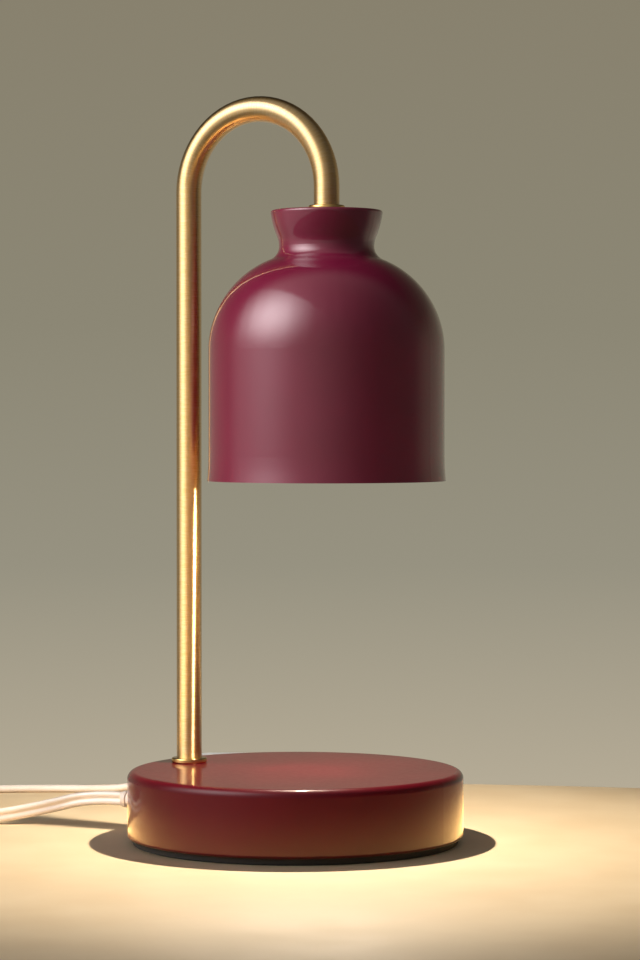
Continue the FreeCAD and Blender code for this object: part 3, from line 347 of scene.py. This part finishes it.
along = addNode(brushed, "ShaderNodeMath", {"operation": "MULTIPLY_ADD", 1: tubeSet["archRadius"]},
                {0: swing, 2: below}).outputs[0]
inPlane = addNode(brushed, "ShaderNodeCombineXYZ", {}, {0: sideways, 2: above}).outputs[0]
across = addNode(brushed, "ShaderNodeVectorMath", {"operation": "LENGTH"}, {0: inPlane}).outputs["Value"]
unrolled = addNode(brushed, "ShaderNodeCombineXYZ", {}, {0: across, 1: parts["Y"], 2: along})
scratchSize = (tubeSet["length"], tubeSet["length"], tubeSet["scratch"])
stretched = addNode(brushed, "ShaderNodeVectorMath", {"operation": "DIVIDE", 1: scratchSize},
                    {0: unrolled.outputs[0]})
scratches = addNode(brushed, "ShaderNodeTexNoise", {"Scale": 1.0, "Detail": 2.5, "Roughness": 0.6},
                    {"Vector": stretched.outputs[0]}).outputs[0]
tone = addNode(brushed, "ShaderNodeMapRange", noiseSpan, {"Value": scratches})
color = addNode(brushed, "ShaderNodeMix", {"data_type": "RGBA", 6: hexColor(tubeSet["colors"][0]),
                                           7: hexColor(tubeSet["colors"][1])}, {0: tone.outputs[0]})
wire(brushed, color.outputs[2], shader.inputs["Base Color"])
gloss = addNode(brushed, "ShaderNodeMapRange", {**noiseSpan, "To Min": tubeSet["rough"][0],
                                                "To Max": tubeSet["rough"][1]}, {"Value": scratches})
wire(brushed, gloss.outputs[0], shader.inputs["Roughness"])
bump = addNode(brushed, "ShaderNodeBump", {"Strength": 1.0, "Distance": tubeSet["relief"]},
               {"Height": scratches})
wire(brushed, bump.outputs[0], shader.inputs["Normal"])
# the tube's own direction: upright in the legs, square to the arch's radius above them
back = addNode(brushed, "ShaderNodeMath", {"operation": "MULTIPLY", 1: -1.0}, {0: above}).outputs[0]
lengthwise = addNode(brushed, "ShaderNodeCombineXYZ", {}, {0: back, 2: parts["X"]}).outputs[0]
axial = addNode(brushed, "ShaderNodeVectorMath", {"operation": "NORMALIZE"}, {0: lengthwise})
wire(brushed, axial.outputs[0], shader.inputs["Tangent"])
finishes["brushed_brass"] = brushed

# polished brass, turned and buffed: mirror sharp, with faint lines round it from the lathe
collarSet = {"colors": ("D2A868", "DDB87C"), "line": 0.00022, "rough": (0.07, 0.14), "relief": 0.0000015,
             "period": 0.314}                       # a wave texture at scale 1 repeats after this many metres
polished, shader = newMaterial("polishedBrass", Metallic=1.0)
coords = addNode(polished, "ShaderNodeTexCoord").outputs["Object"]
rings = addNode(polished, "ShaderNodeTexWave", {"Scale": collarSet["period"] / collarSet["line"],
                                                "Distortion": 1.5, "bands_direction": "Z"},
                {"Vector": coords}).outputs["Fac"]
color = addNode(polished, "ShaderNodeMix", {"data_type": "RGBA", 6: hexColor(collarSet["colors"][0]),
                                            7: hexColor(collarSet["colors"][1])}, {0: rings})
wire(polished, color.outputs[2], shader.inputs["Base Color"])
gloss = addNode(polished, "ShaderNodeMapRange", {"To Min": collarSet["rough"][0],
                                                 "To Max": collarSet["rough"][1]}, {"Value": rings})
wire(polished, gloss.outputs[0], shader.inputs["Roughness"])
bump = addNode(polished, "ShaderNodeBump", {"Strength": 1.0, "Distance": collarSet["relief"]},
               {"Height": rings})
wire(polished, bump.outputs[0], shader.inputs["Normal"])
finishes["polished_brass"] = polished


def grained(material, shader, grain, colors, rough, depth):
    # one grain of that size in metres drives the colour, the gloss and the relief
    coords = addNode(material, "ShaderNodeTexCoord").outputs["Object"]
    noise = addNode(material, "ShaderNodeTexNoise", {"Scale": 1 / grain, "Detail": 3.0},
                    {"Vector": coords}).outputs[0]
    tone = addNode(material, "ShaderNodeMapRange", noiseSpan, {"Value": noise})
    color = addNode(material, "ShaderNodeMix", {"data_type": "RGBA", 6: hexColor(colors[0]),
                                                7: hexColor(colors[1])}, {0: tone.outputs[0]})
    wire(material, color.outputs[2], shader.inputs["Base Color"])
    gloss = addNode(material, "ShaderNodeMapRange", {"To Min": rough[0], "To Max": rough[1]},
                    {"Value": tone.outputs[0]})
    wire(material, gloss.outputs[0], shader.inputs["Roughness"])
    bump = addNode(material, "ShaderNodeBump", {"Strength": 1.0, "Distance": depth}, {"Height": noise})
    wire(material, bump.outputs[0], shader.inputs["Normal"])


# the rest, each as (name, grain, two colours, roughness, relief, fixed values of the surface)
others = {
    # grey sand cast iron, left rough
    "cast_iron": ("castIron", 0.0014, ("2B2B2C", "48484A"), (0.55, 0.8), 0.00012, {"Metallic": 1.0}),
    # pressed steel with bright zinc: bluish grey, cloudy
    "zinc_steel": ("zincSteel", 0.004, ("A9AEB4", "C6C8CA"), (0.28, 0.42), 0.000008, {"Metallic": 1.0}),
    # nickel on steel: warmer and brighter than zinc
    "nickel_steel": ("nickelSteel", 0.002, ("BDB8AD", "CFCABF"), (0.2, 0.3), 0.000004, {"Metallic": 1.0}),
    # spring brass strip as rolled
    "contact_brass": ("sprungBrass", 0.0009, ("B88F48", "D2AC63"), (0.26, 0.38), 0.000006, {"Metallic": 1.0}),
    # nickel on stamped brass
    "nickel_brass": ("nickelBrass", 0.0012, ("BFBAAC", "CFCABD"), (0.18, 0.28), 0.000005, {"Metallic": 1.0}),
    # closed cell foam: dull black, cells drawn 0.6 mm across to show
    "black_foam": ("evaFoam", 0.0006, ("080809", "131314"), (0.85, 0.97), 0.00006, {}),
    # injection moulded flex plug, softly grained by the mould
    "white_pvc": ("mouldedPvc", 0.0005, ("E4E2DB", "ECEBE5"), (0.36, 0.48), 0.000012, {}),
    # spark eroded ABS
    "white_abs": ("mouldedAbs", 0.0004, ("E8E6E0", "EFEEE9"), (0.32, 0.46), 0.000014, {}),
    # natural nylon: waxy, light passes a little way in
    "natural_nylon": ("nylon", 0.0012, ("DAD5C3", "E8E4D6"), (0.38, 0.5), 0.00001,
                      {"Subsurface_Weight": 0.25, "Subsurface_Scale": 0.002}),
    # silicone rubber sleeve: matt with a slight drag
    "white_silicone": ("silicone", 0.0008, ("DEDBD3", "E9E7E1"), (0.52, 0.66), 0.00001, {}),
    # pressed and fired steatite: chalky cream with fine specks
    "steatite": ("steatite", 0.0005, ("D3CCBA", "EBE6D9"), (0.5, 0.68), 0.00002, {}),
    # glass cloth laminate under green solder resist
    "board_laminate": ("boardLaminate", 0.0007, ("1E5A30", "2E7A45"), (0.35, 0.5), 0.00002, {}),
    # cast epoxy cases
    "black_epoxy": ("epoxy", 0.0005, ("141415", "222223"), (0.42, 0.58), 0.000015, {}),
    # soft black vinyl over a tie's wire
    "tie_plastic": ("tieVinyl", 0.0007, ("0F0F10", "1E1E1F"), (0.34, 0.5), 0.00002, {}),
    # clear PVC with plasticiser haze: milky and slightly pink over the wires
    "clear_pvc": ("clearPvc", 0.006, ("F6E6D8", "F9ECE1"), (0.16, 0.22), 0.0000015,
                  {"IOR": 1.53, "Transmission_Weight": 0.25}),
}
for slot, (name, grain, colors, rough, relief, fixed) in others.items():
    finishes[slot], shader = newMaterial(name, **fixed)
    grained(finishes[slot], shader, grain, colors, rough, relief)

# aluminium mirror inside pressed glass: pillow facets, 36 round the bowl and 2.6 mm high
mirrorSet = {"colors": ("C9CACB", "E2E2E0"), "facets": 36, "row": 0.0026, "relief": 0.00012}
mirror, shader = newMaterial("aluminisedGlass", Metallic=1.0, Roughness=0.07)
coords = addNode(mirror, "ShaderNodeTexCoord").outputs["Object"]
fromAxis = addNode(mirror, "ShaderNodeVectorMath", {"operation": "SUBTRACT", 1: (shadeAxis, 0, 0)},
                   {0: coords})
parts = addNode(mirror, "ShaderNodeSeparateXYZ", {}, {0: fromAxis.outputs[0]}).outputs
swing = addNode(mirror, "ShaderNodeMath", {"operation": "ARCTAN2"}, {0: parts["Y"], 1: parts["X"]})
waves = []
for source, factor in ((swing.outputs[0], mirrorSet["facets"] / 2), (parts["Z"], math.pi / mirrorSet["row"])):
    scaled = addNode(mirror, "ShaderNodeMath", {"operation": "MULTIPLY", 1: factor}, {0: source})
    wave = addNode(mirror, "ShaderNodeMath", {"operation": "SINE"}, {0: scaled.outputs[0]})
    arched = addNode(mirror, "ShaderNodeMath", {"operation": "ABSOLUTE"}, {0: wave.outputs[0]})
    waves.append(arched.outputs[0])
pillow = addNode(mirror, "ShaderNodeMath", {"operation": "MULTIPLY"}, {0: waves[0], 1: waves[1]}).outputs[0]
bump = addNode(mirror, "ShaderNodeBump", {"Strength": 0.6, "Distance": mirrorSet["relief"]},
               {"Height": pillow})
wire(mirror, bump.outputs[0], shader.inputs["Normal"])
color = addNode(mirror, "ShaderNodeMix", {"data_type": "RGBA", 6: hexColor(mirrorSet["colors"][0]),
                                          7: hexColor(mirrorSet["colors"][1])}, {0: pillow})
wire(mirror, color.outputs[2], shader.inputs["Base Color"])
finishes["mirrored_glass"] = mirror

# clear glass, slightly uneven from the press
glassSet = {"colors": ("FBFCFC", "FFFFFF"), "uneven": 0.004, "rough": (0.0, 0.03), "relief": 0.00001}
clearGlass, shader = newMaterial("pressedGlass", IOR=1.5, Transmission_Weight=1.0)
grained(clearGlass, shader, glassSet["uneven"], glassSet["colors"], glassSet["rough"], glassSet["relief"])
finishes["clear_glass"] = clearGlass

# tinned copper strands, laid in a slow twist along each wire
wireSet = {"strands": 8, "lay": 0.0015, "skew": 0.5, "colors": ("CDB09B", "DCC7B5"), "relief": 0.00001}
copper, shader = newMaterial("tinnedCopper", Metallic=1.0, Roughness=0.32)
layout = addNode(copper, "ShaderNodeUVMap", {"uv_map": "along"}).outputs[0]
skewed = addNode(copper, "ShaderNodeMapping", {"Rotation": (0, 0, wireSet["skew"]),
                                               "Scale": (wireSet["strands"], 1 / wireSet["lay"], 1)},
                 {"Vector": layout}).outputs[0]
strands = addNode(copper, "ShaderNodeTexWave", {"Scale": 1.0, "Distortion": 0.4},
                  {"Vector": skewed}).outputs["Fac"]
color = addNode(copper, "ShaderNodeMix", {"data_type": "RGBA", 6: hexColor(wireSet["colors"][0]),
                                          7: hexColor(wireSet["colors"][1])}, {0: strands})
wire(copper, color.outputs[2], shader.inputs["Base Color"])
bump = addNode(copper, "ShaderNodeBump", {"Strength": 0.6, "Distance": wireSet["relief"]},
               {"Height": strands})
wire(copper, bump.outputs[0], shader.inputs["Normal"])

for entry in frame["record"]["subparts"]:
    dress(nodes[entry["node"]], finishes[entry["material_slot"]])
for flex in (lead, tail):
    dress(flex, finishes["clear_pvc"], copper)
    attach(flex, "lamp")
print("finishes ready,", len(bpy.data.materials))

# twist tie round the coil: a flat vinyl strip drawn into a loop, its two ends twisted together on top
tieSet = {"angle": 135.0, "middle": 0.0292, "depth": 0.0156, "bottom": 0.0001, "height": 0.0131,
          "corner": 0.0028, "width": 0.0038, "thickness": 0.0007, "soft": 0.00018,
          "endWidth": 0.0028, "endGap": 0.001, "endSoft": 0.00015, "twistLength": 0.0135, "twistTurns": 2.25,
          "start": (0.0262, 0, 0.0142), "slope": 3.0, "heading": 21.0}
deselectAll()
bpy.ops.mesh.primitive_cube_add(size=1, location=(tieSet["middle"], 0,
                                                  tieSet["bottom"] + tieSet["height"] / 2))
tie = bpy.context.object
tie.name = "twistTie"
tie.scale = (tieSet["depth"], tieSet["width"], tieSet["height"])
settle()


def chooseFaces(piece, wanted):
    # edit mode with only those faces selected
    bpy.ops.object.mode_set(mode="EDIT")
    bpy.ops.mesh.select_mode(type="FACE")
    bpy.ops.mesh.select_all(action="DESELECT")
    bpy.ops.object.mode_set(mode="OBJECT")
    for face in piece.data.polygons:
        face.select = wanted(face)
    bpy.ops.object.mode_set(mode="EDIT")


def applyModifier(piece, name, kind, **values):
    made = piece.modifiers.new(name, kind)
    for key, value in values.items():
        setattr(made, key, value)
    bpy.context.view_layer.objects.active = piece
    bpy.ops.object.modifier_apply(modifier=name)


chooseFaces(tie, lambda face: abs(face.normal.y) > 0.5)
bpy.ops.mesh.delete(type="FACE")
bpy.ops.object.mode_set(mode="OBJECT")
applyModifier(tie, "corners", "BEVEL", width=tieSet["corner"], segments=7, limit_method="ANGLE")
applyModifier(tie, "strip", "SOLIDIFY", thickness=tieSet["thickness"], offset=-1)
applyModifier(tie, "softEdges", "BEVEL", width=tieSet["soft"], segments=2, limit_method="ANGLE")
ends = []
for side in (1, -1):
    deselectAll()
    bpy.ops.mesh.primitive_grid_add(x_subdivisions=3, y_subdivisions=60, size=1,
                                    location=(0, tieSet["twistLength"] / 2, side * tieSet["endGap"] / 2))
    strip = bpy.context.object
    strip.scale = (tieSet["endWidth"], tieSet["twistLength"], 1)
    settle()
    applyModifier(strip, "strip", "SOLIDIFY", thickness=tieSet["thickness"], offset=0)
    ends.append(strip)
twist = joinPieces(ends)
applyModifier(twist, "turn", "SIMPLE_DEFORM", deform_method="TWIST", deform_axis="Y",
              angle=math.tau * tieSet["twistTurns"])
applyModifier(twist, "softEdges", "BEVEL", width=tieSet["endSoft"], segments=2, limit_method="ANGLE")
twist.rotation_euler = (math.radians(tieSet["slope"]), 0, math.radians(tieSet["heading"] - 90))
twist.location = tieSet["start"]
joinPieces([tie, twist])
tie.rotation_euler = (0, 0, math.radians(tieSet["angle"]))
tie.location = (*coilSet["centre"], 0)
settle()
bpy.ops.object.shade_smooth_by_angle(angle=smoothAngle)
dress(tie, finishes["tie_plastic"])
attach(tie, "lamp")
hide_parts("coil_tie")
print("tie made")

# tungsten filament in the bulb's capsule: a close coil on two molybdenum leads
filamentSet = {"low": 0.1672, "turns": 11, "pitch": 0.00042, "coil": 0.0006, "wire": 0.00013, "steps": 14,
               "leadTop": 0.1790, "leadRadius": 0.0002, "leadOut": 0.0012,
               "bends": ((0.0003, 0.0003), (0.0004, 0.00004)),    # inwards and down, at a lead's lower end
               "grain": 0.0003, "colors": ("6E6B66", "8B8883"), "rough": (0.3, 0.42), "relief": 0.00001}
tungsten, shader = newMaterial("tungsten", Metallic=1.0)
grained(tungsten, shader, filamentSet["grain"], filamentSet["colors"], filamentSet["rough"],
        filamentSet["relief"])
deselectAll()
bpy.ops.mesh.primitive_circle_add(vertices=8, radius=filamentSet["wire"], rotation=(math.pi / 2, 0, 0),
                                  location=(filamentSet["coil"], 0, 0))
filament = bpy.context.object
filament.name = "capsuleFilament"
settle()
applyModifier(filament, "wind", "SCREW", axis="Z", angle=math.tau, steps=filamentSet["steps"],
              render_steps=filamentSet["steps"], screw_offset=filamentSet["pitch"],
              iterations=filamentSet["turns"], use_smooth_shade=True)
filament.location = (shadeAxis, 0, filamentSet["low"])
settle()
wires = [filament]
coilHeight = filamentSet["turns"] * filamentSet["pitch"]
for side, foot in ((1, coilHeight), (-1, 0.0)):
    deselectAll()
    reachUp = filamentSet["leadTop"] - filamentSet["low"] - foot
    bpy.ops.mesh.primitive_cylinder_add(
        vertices=12, radius=filamentSet["leadRadius"], depth=reachUp,
        location=(shadeAxis + side * filamentSet["leadOut"], 0, filamentSet["low"] + foot + reachUp / 2))
    post = bpy.context.object
    settle()
    chooseFaces(post, lambda face: face.normal.z < -0.9)
    for inwards, down in filamentSet["bends"]:
        bpy.ops.mesh.extrude_region_move(TRANSFORM_OT_translate={"value": (-side * inwards, 0, -down)})
    bpy.ops.object.mode_set(mode="OBJECT")
    bpy.ops.object.shade_smooth_by_angle(angle=smoothAngle)
    wires.append(post)
joinPieces(wires)
dress(filament, tungsten)
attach(filament, "bulb")
print("filament made")

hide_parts("cord_lead")
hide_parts("cord_run", "cord_coil", "cord_tail")

# round table in matt cream paint, and a plain paper backdrop
stageSet = {"paint": ("EAD3AE", "EED9B6"), "grain": 0.03, "rough": (0.6, 0.7), "relief": 0.00001,
            "radius": 0.6, "middle": (0.21, -0.355), "thickness": 0.03,
            # painted reflection: colour and reach of the pool of light that only glosses see on the table
            "glare": (2.8, 1.75, 0.58, 1), "glareReach": (0.09, 0.2),
            "paper": ((-0.12, "B4AA95"), (-0.05, "979281"), (0.03, "8C8775"), (0.14, "88816E"),
                      (0.35, "5A5446"), (0.7, "24211C")),
            "room": 0.15, "roomColor": "F4F1EA", "walls": (0.13, 1.0), "wallColor": "F1EBDD",
            "left": (-0.861, -0.509, 0), "wallSpan": (-0.8, 0.8),
            "behind": (-0.509, 0.861, 0), "paperSpan": (0.0, 0.4)}
deselectAll()
bpy.ops.mesh.primitive_cylinder_add(vertices=256, radius=stageSet["radius"], depth=stageSet["thickness"],
                                    location=(*stageSet["middle"], -stageSet["thickness"] / 2))
floor = bpy.context.object
floor.name = "floor"
settle()
mattPaintAndPaintedPool, shader = newMaterial("mattPaintAndPaintedPool")
grained(mattPaintAndPaintedPool, shader, stageSet["grain"], stageSet["paint"], stageSet["rough"], stageSet["relief"])
# painted reflection: for glossy rays a warm pool of light, above white and strongest near the lamp, is
# painted onto the table, so glosses see it lighter than the camera does
coords = addNode(mattPaintAndPaintedPool, "ShaderNodeTexCoord").outputs["Object"]
fromAxis = addNode(mattPaintAndPaintedPool, "ShaderNodeVectorMath", {"operation": "SUBTRACT", 1: (shadeAxis, 0, 0)},
                   {0: coords})
away = addNode(mattPaintAndPaintedPool, "ShaderNodeVectorMath", {"operation": "LENGTH"}, {0: fromAxis.outputs[0]})
near = addNode(mattPaintAndPaintedPool, "ShaderNodeMapRange", {"From Min": stageSet["glareReach"][0], "To Min": 1.0,
                                                 "From Max": stageSet["glareReach"][1], "To Max": 0.0},
               {"Value": away.outputs["Value"]})
mirroredRay = addNode(mattPaintAndPaintedPool, "ShaderNodeLightPath").outputs["Is Glossy Ray"]
strength = addNode(mattPaintAndPaintedPool, "ShaderNodeMath", {"operation": "MULTIPLY"},
                   {0: mirroredRay, 1: near.outputs[0]})
# the painted pool of light itself, added on top of the matt paint
paintedPoolShader = addNode(mattPaintAndPaintedPool, "ShaderNodeBsdfDiffuse", {"Color": stageSet["glare"]}).outputs[0]
withPaintedPool = addNode(mattPaintAndPaintedPool, "ShaderNodeAddShader", {}, {0: shader.outputs[0], 1: paintedPoolShader}).outputs[0]
shown = addNode(mattPaintAndPaintedPool, "ShaderNodeMixShader", {}, {0: strength.outputs[0], 1: shader.outputs[0], 2: withPaintedPool})
wire(mattPaintAndPaintedPool, shown.outputs[0], mattPaintAndPaintedPool.node_tree.nodes["Material Output"].inputs["Surface"])
dress(floor, mattPaintAndPaintedPool)

world = bpy.data.worlds.new("studio")
bpy.context.scene.world = world
world.use_nodes = True
background = world.node_tree.nodes["Background"]
background.inputs["Color"].default_value = hexColor(stageSet["roomColor"])
background.inputs["Strength"].default_value = stageSet["room"]
direction = addNode(world, "ShaderNodeTexCoord").outputs["Generated"]
height = addNode(world, "ShaderNodeSeparateXYZ", {}, {0: direction}).outputs["Z"]
lowest, highest = stageSet["paper"][0][0], stageSet["paper"][-1][0]
fade = addNode(world, "ShaderNodeMapRange", {"From Min": lowest, "From Max": highest}, {"Value": height})
paper = addNode(world, "ShaderNodeValToRGB", {}, {"Fac": fade.outputs["Result"]})
stops = paper.color_ramp.elements
stops.remove(stops[1])
for level, code in stageSet["paper"]:
    place = (level - lowest) / (highest - lowest)
    stop = stops.new(place) if level > lowest else stops[0]
    stop.position, stop.color = place, hexColor(code)
path = addNode(world, "ShaderNodeLightPath").outputs
seen = addNode(world, "ShaderNodeMath", {"operation": "MAXIMUM"},
               {0: path["Is Camera Ray"], 1: path["Is Transmission Ray"]}).outputs[0]
backdrop = addNode(world, "ShaderNodeBackground", {"Strength": 1.0}, {"Color": paper.outputs[0]}).outputs[0]

# glosses see the paper behind the lamp, and round the rest of the room a wall that is darker on the right
leftwards = addNode(world, "ShaderNodeVectorMath", {"operation": "DOT_PRODUCT", 1: stageSet["left"]},
                    {0: direction})
wall = addNode(world, "ShaderNodeMapRange", {
    "interpolation_type": "SMOOTHSTEP", "From Min": stageSet["wallSpan"][0],
    "From Max": stageSet["wallSpan"][1], "To Min": stageSet["walls"][0],
    "To Max": stageSet["walls"][1]}, {"Value": leftwards.outputs["Value"]})
walls = addNode(world, "ShaderNodeBackground", {"Color": hexColor(stageSet["wallColor"])},
                {"Strength": wall.outputs[0]}).outputs[0]
backwards = addNode(world, "ShaderNodeVectorMath", {"operation": "DOT_PRODUCT", 1: stageSet["behind"]},
                    {0: direction})
share = addNode(world, "ShaderNodeMapRange", {
    "interpolation_type": "SMOOTHSTEP", "From Min": stageSet["paperSpan"][0],
    "From Max": stageSet["paperSpan"][1]}, {"Value": backwards.outputs["Value"]})
mirrored = addNode(world, "ShaderNodeMixShader", {}, {0: share.outputs[0], 1: walls, 2: backdrop}).outputs[0]
glossy = addNode(world, "ShaderNodeMixShader", {}, {0: path["Is Glossy Ray"], 1: background.outputs[0],
                                                    2: mirrored}).outputs[0]
both = addNode(world, "ShaderNodeMixShader", {}, {0: seen, 1: glossy, 2: backdrop})
wire(world, both.outputs[0], world.node_tree.nodes["World Output"].inputs["Surface"])
print("floor and backdrop ready")

# a big soft box on the left, there for glosses and glass: its glow fades off all round and ends at a straight
# top. The key light near it lights the plain surfaces
boxSet = {"place": (-0.51, -0.859, 0.854), "aim": (shadeAxis, 0, 0.2), "size": 2.4, "top": 0.27,
          "topEdge": 0.04, "peak": 7.5, "spread": 0.52, "rest": 0.35}
keySet = {"place": (-0.631, -0.758, 0.745), "aim": (shadeAxis, 0, 0.17), "size": 0.9, "power": 19}
bulbSet = {"place": (0.006, 0, 0.1498), "power": 3.4, "spread": 160, "poolSpread": 136, "poolEdge": 0.45,
           "poolReach": 0.183, "edge": 0.5, "lens": 0.004, "color": (1.0, 0.86, 0.68)}


def hangLight(name, kind, setting):
    # without a power, an area light's own glow has strength 1 at each point
    light = link(bpy.data.objects.new(name, bpy.data.lights.new(name, kind)))
    light.location = setting["place"]
    if "aim" in setting:
        towards = Vector(setting["aim"]) - Vector(setting["place"])
        light.rotation_euler = towards.to_track_quat("-Z", "Y").to_euler()
    if "size" in setting:
        light.data.shape, light.data.size = "SQUARE", setting["size"]
    light.data.energy = setting.get("power", math.pi * setting.get("size", 0) ** 2)
    return light


glowBox = hangLight("glowBox", "AREA", boxSet)
glowBox.visible_diffuse = False
box = glowBox.data
box.use_nodes = True
# parametric coordinates run from 0 to 1 over the box
spot = addNode(box, "ShaderNodeNewGeometry").outputs["Parametric"]
shifted = addNode(box, "ShaderNodeVectorMath", {"operation": "SUBTRACT", 1: (0.5, 0.5, 0)}, {0: spot})
inPlane = addNode(box, "ShaderNodeVectorMath", {"operation": "MULTIPLY", 1: (1, 1, 0)},
                  {0: shifted.outputs[0]})
far = addNode(box, "ShaderNodeVectorMath", {"operation": "LENGTH"}, {0: inPlane.outputs[0]}).outputs["Value"]
scaled = addNode(box, "ShaderNodeMath", {"operation": "MULTIPLY", 1: boxSet["size"] / boxSet["spread"]},
                 {0: far})
squared = addNode(box, "ShaderNodeMath", {"operation": "POWER", 1: 2.0}, {0: scaled.outputs[0]})
negative = addNode(box, "ShaderNodeMath", {"operation": "MULTIPLY", 1: -1.0}, {0: squared.outputs[0]})
bell = addNode(box, "ShaderNodeMath", {"operation": "EXPONENT"}, {0: negative.outputs[0]})
edges = addNode(box, "ShaderNodeMapRange", {"From Min": 0.0, "From Max": 0.5, "To Min": boxSet["rest"],
                                            "To Max": 0.0}, {"Value": far})
glow = addNode(box, "ShaderNodeMath", {"operation": "MULTIPLY_ADD", 1: boxSet["peak"]},
               {0: bell.outputs[0], 2: edges.outputs[0]})
rise = addNode(box, "ShaderNodeSeparateXYZ", {}, {0: shifted.outputs[0]}).outputs["Y"]
lid = addNode(box, "ShaderNodeMapRange", {"From Min": boxSet["top"] - boxSet["topEdge"],
                                          "From Max": boxSet["top"], "To Min": 1.0, "To Max": 0.0},
              {"Value": rise})
capped = addNode(box, "ShaderNodeMath", {"operation": "MULTIPLY"}, {0: glow.outputs[0], 1: lid.outputs[0]})
wire(box, capped.outputs[0], box.node_tree.nodes["Emission"].inputs["Strength"])
keyBox = hangLight("keyBox", "AREA", keySet)
keyBox.visible_glossy = keyBox.visible_transmission = False
# the bulb's light, and for the table alone a narrower one from the same place that fades off more slowly
bulbLight, poolLight = [hangLight(name, "SPOT", bulbSet) for name in ("bulbLight", "poolLight")]
for beam, spread, edge in ((bulbLight.data, bulbSet["spread"], bulbSet["edge"]),
                           (poolLight.data, bulbSet["poolSpread"], bulbSet["poolEdge"])):
    beam.spot_size, beam.spot_blend = math.radians(spread), edge
    beam.shadow_soft_size, beam.color = bulbSet["lens"], bulbSet["color"]
pool = poolLight.data
pool.use_nodes = True
even = addNode(pool, "ShaderNodeLightFalloff", {"Strength": 1 / bulbSet["poolReach"]}).outputs["Linear"]
wire(pool, even, pool.node_tree.nodes["Emission"].inputs["Strength"])
# what each light leaves out, or the only thing that it lights
whiteParts = [nodes[name] for name in ("dimmer_top_shell", "dimmer_bottom_shell", "dimmer_wheel",
                                       "plug_body")]
for light, state, pieces in ((keyBox, "EXCLUDE", [floor]), (bulbLight, "EXCLUDE", [floor] + whiteParts),
                             (poolLight, "INCLUDE", [floor])):
    linked = bpy.data.collections.new(light.name + "Pieces")
    for piece in pieces:
        linked.objects.link(piece)
    for held in linked.collection_objects:
        held.light_linking.link_state = state
    light.light_linking.receiver_collection = linked
bpy.context.scene.view_settings.view_transform = "Standard"
print("studio ready")
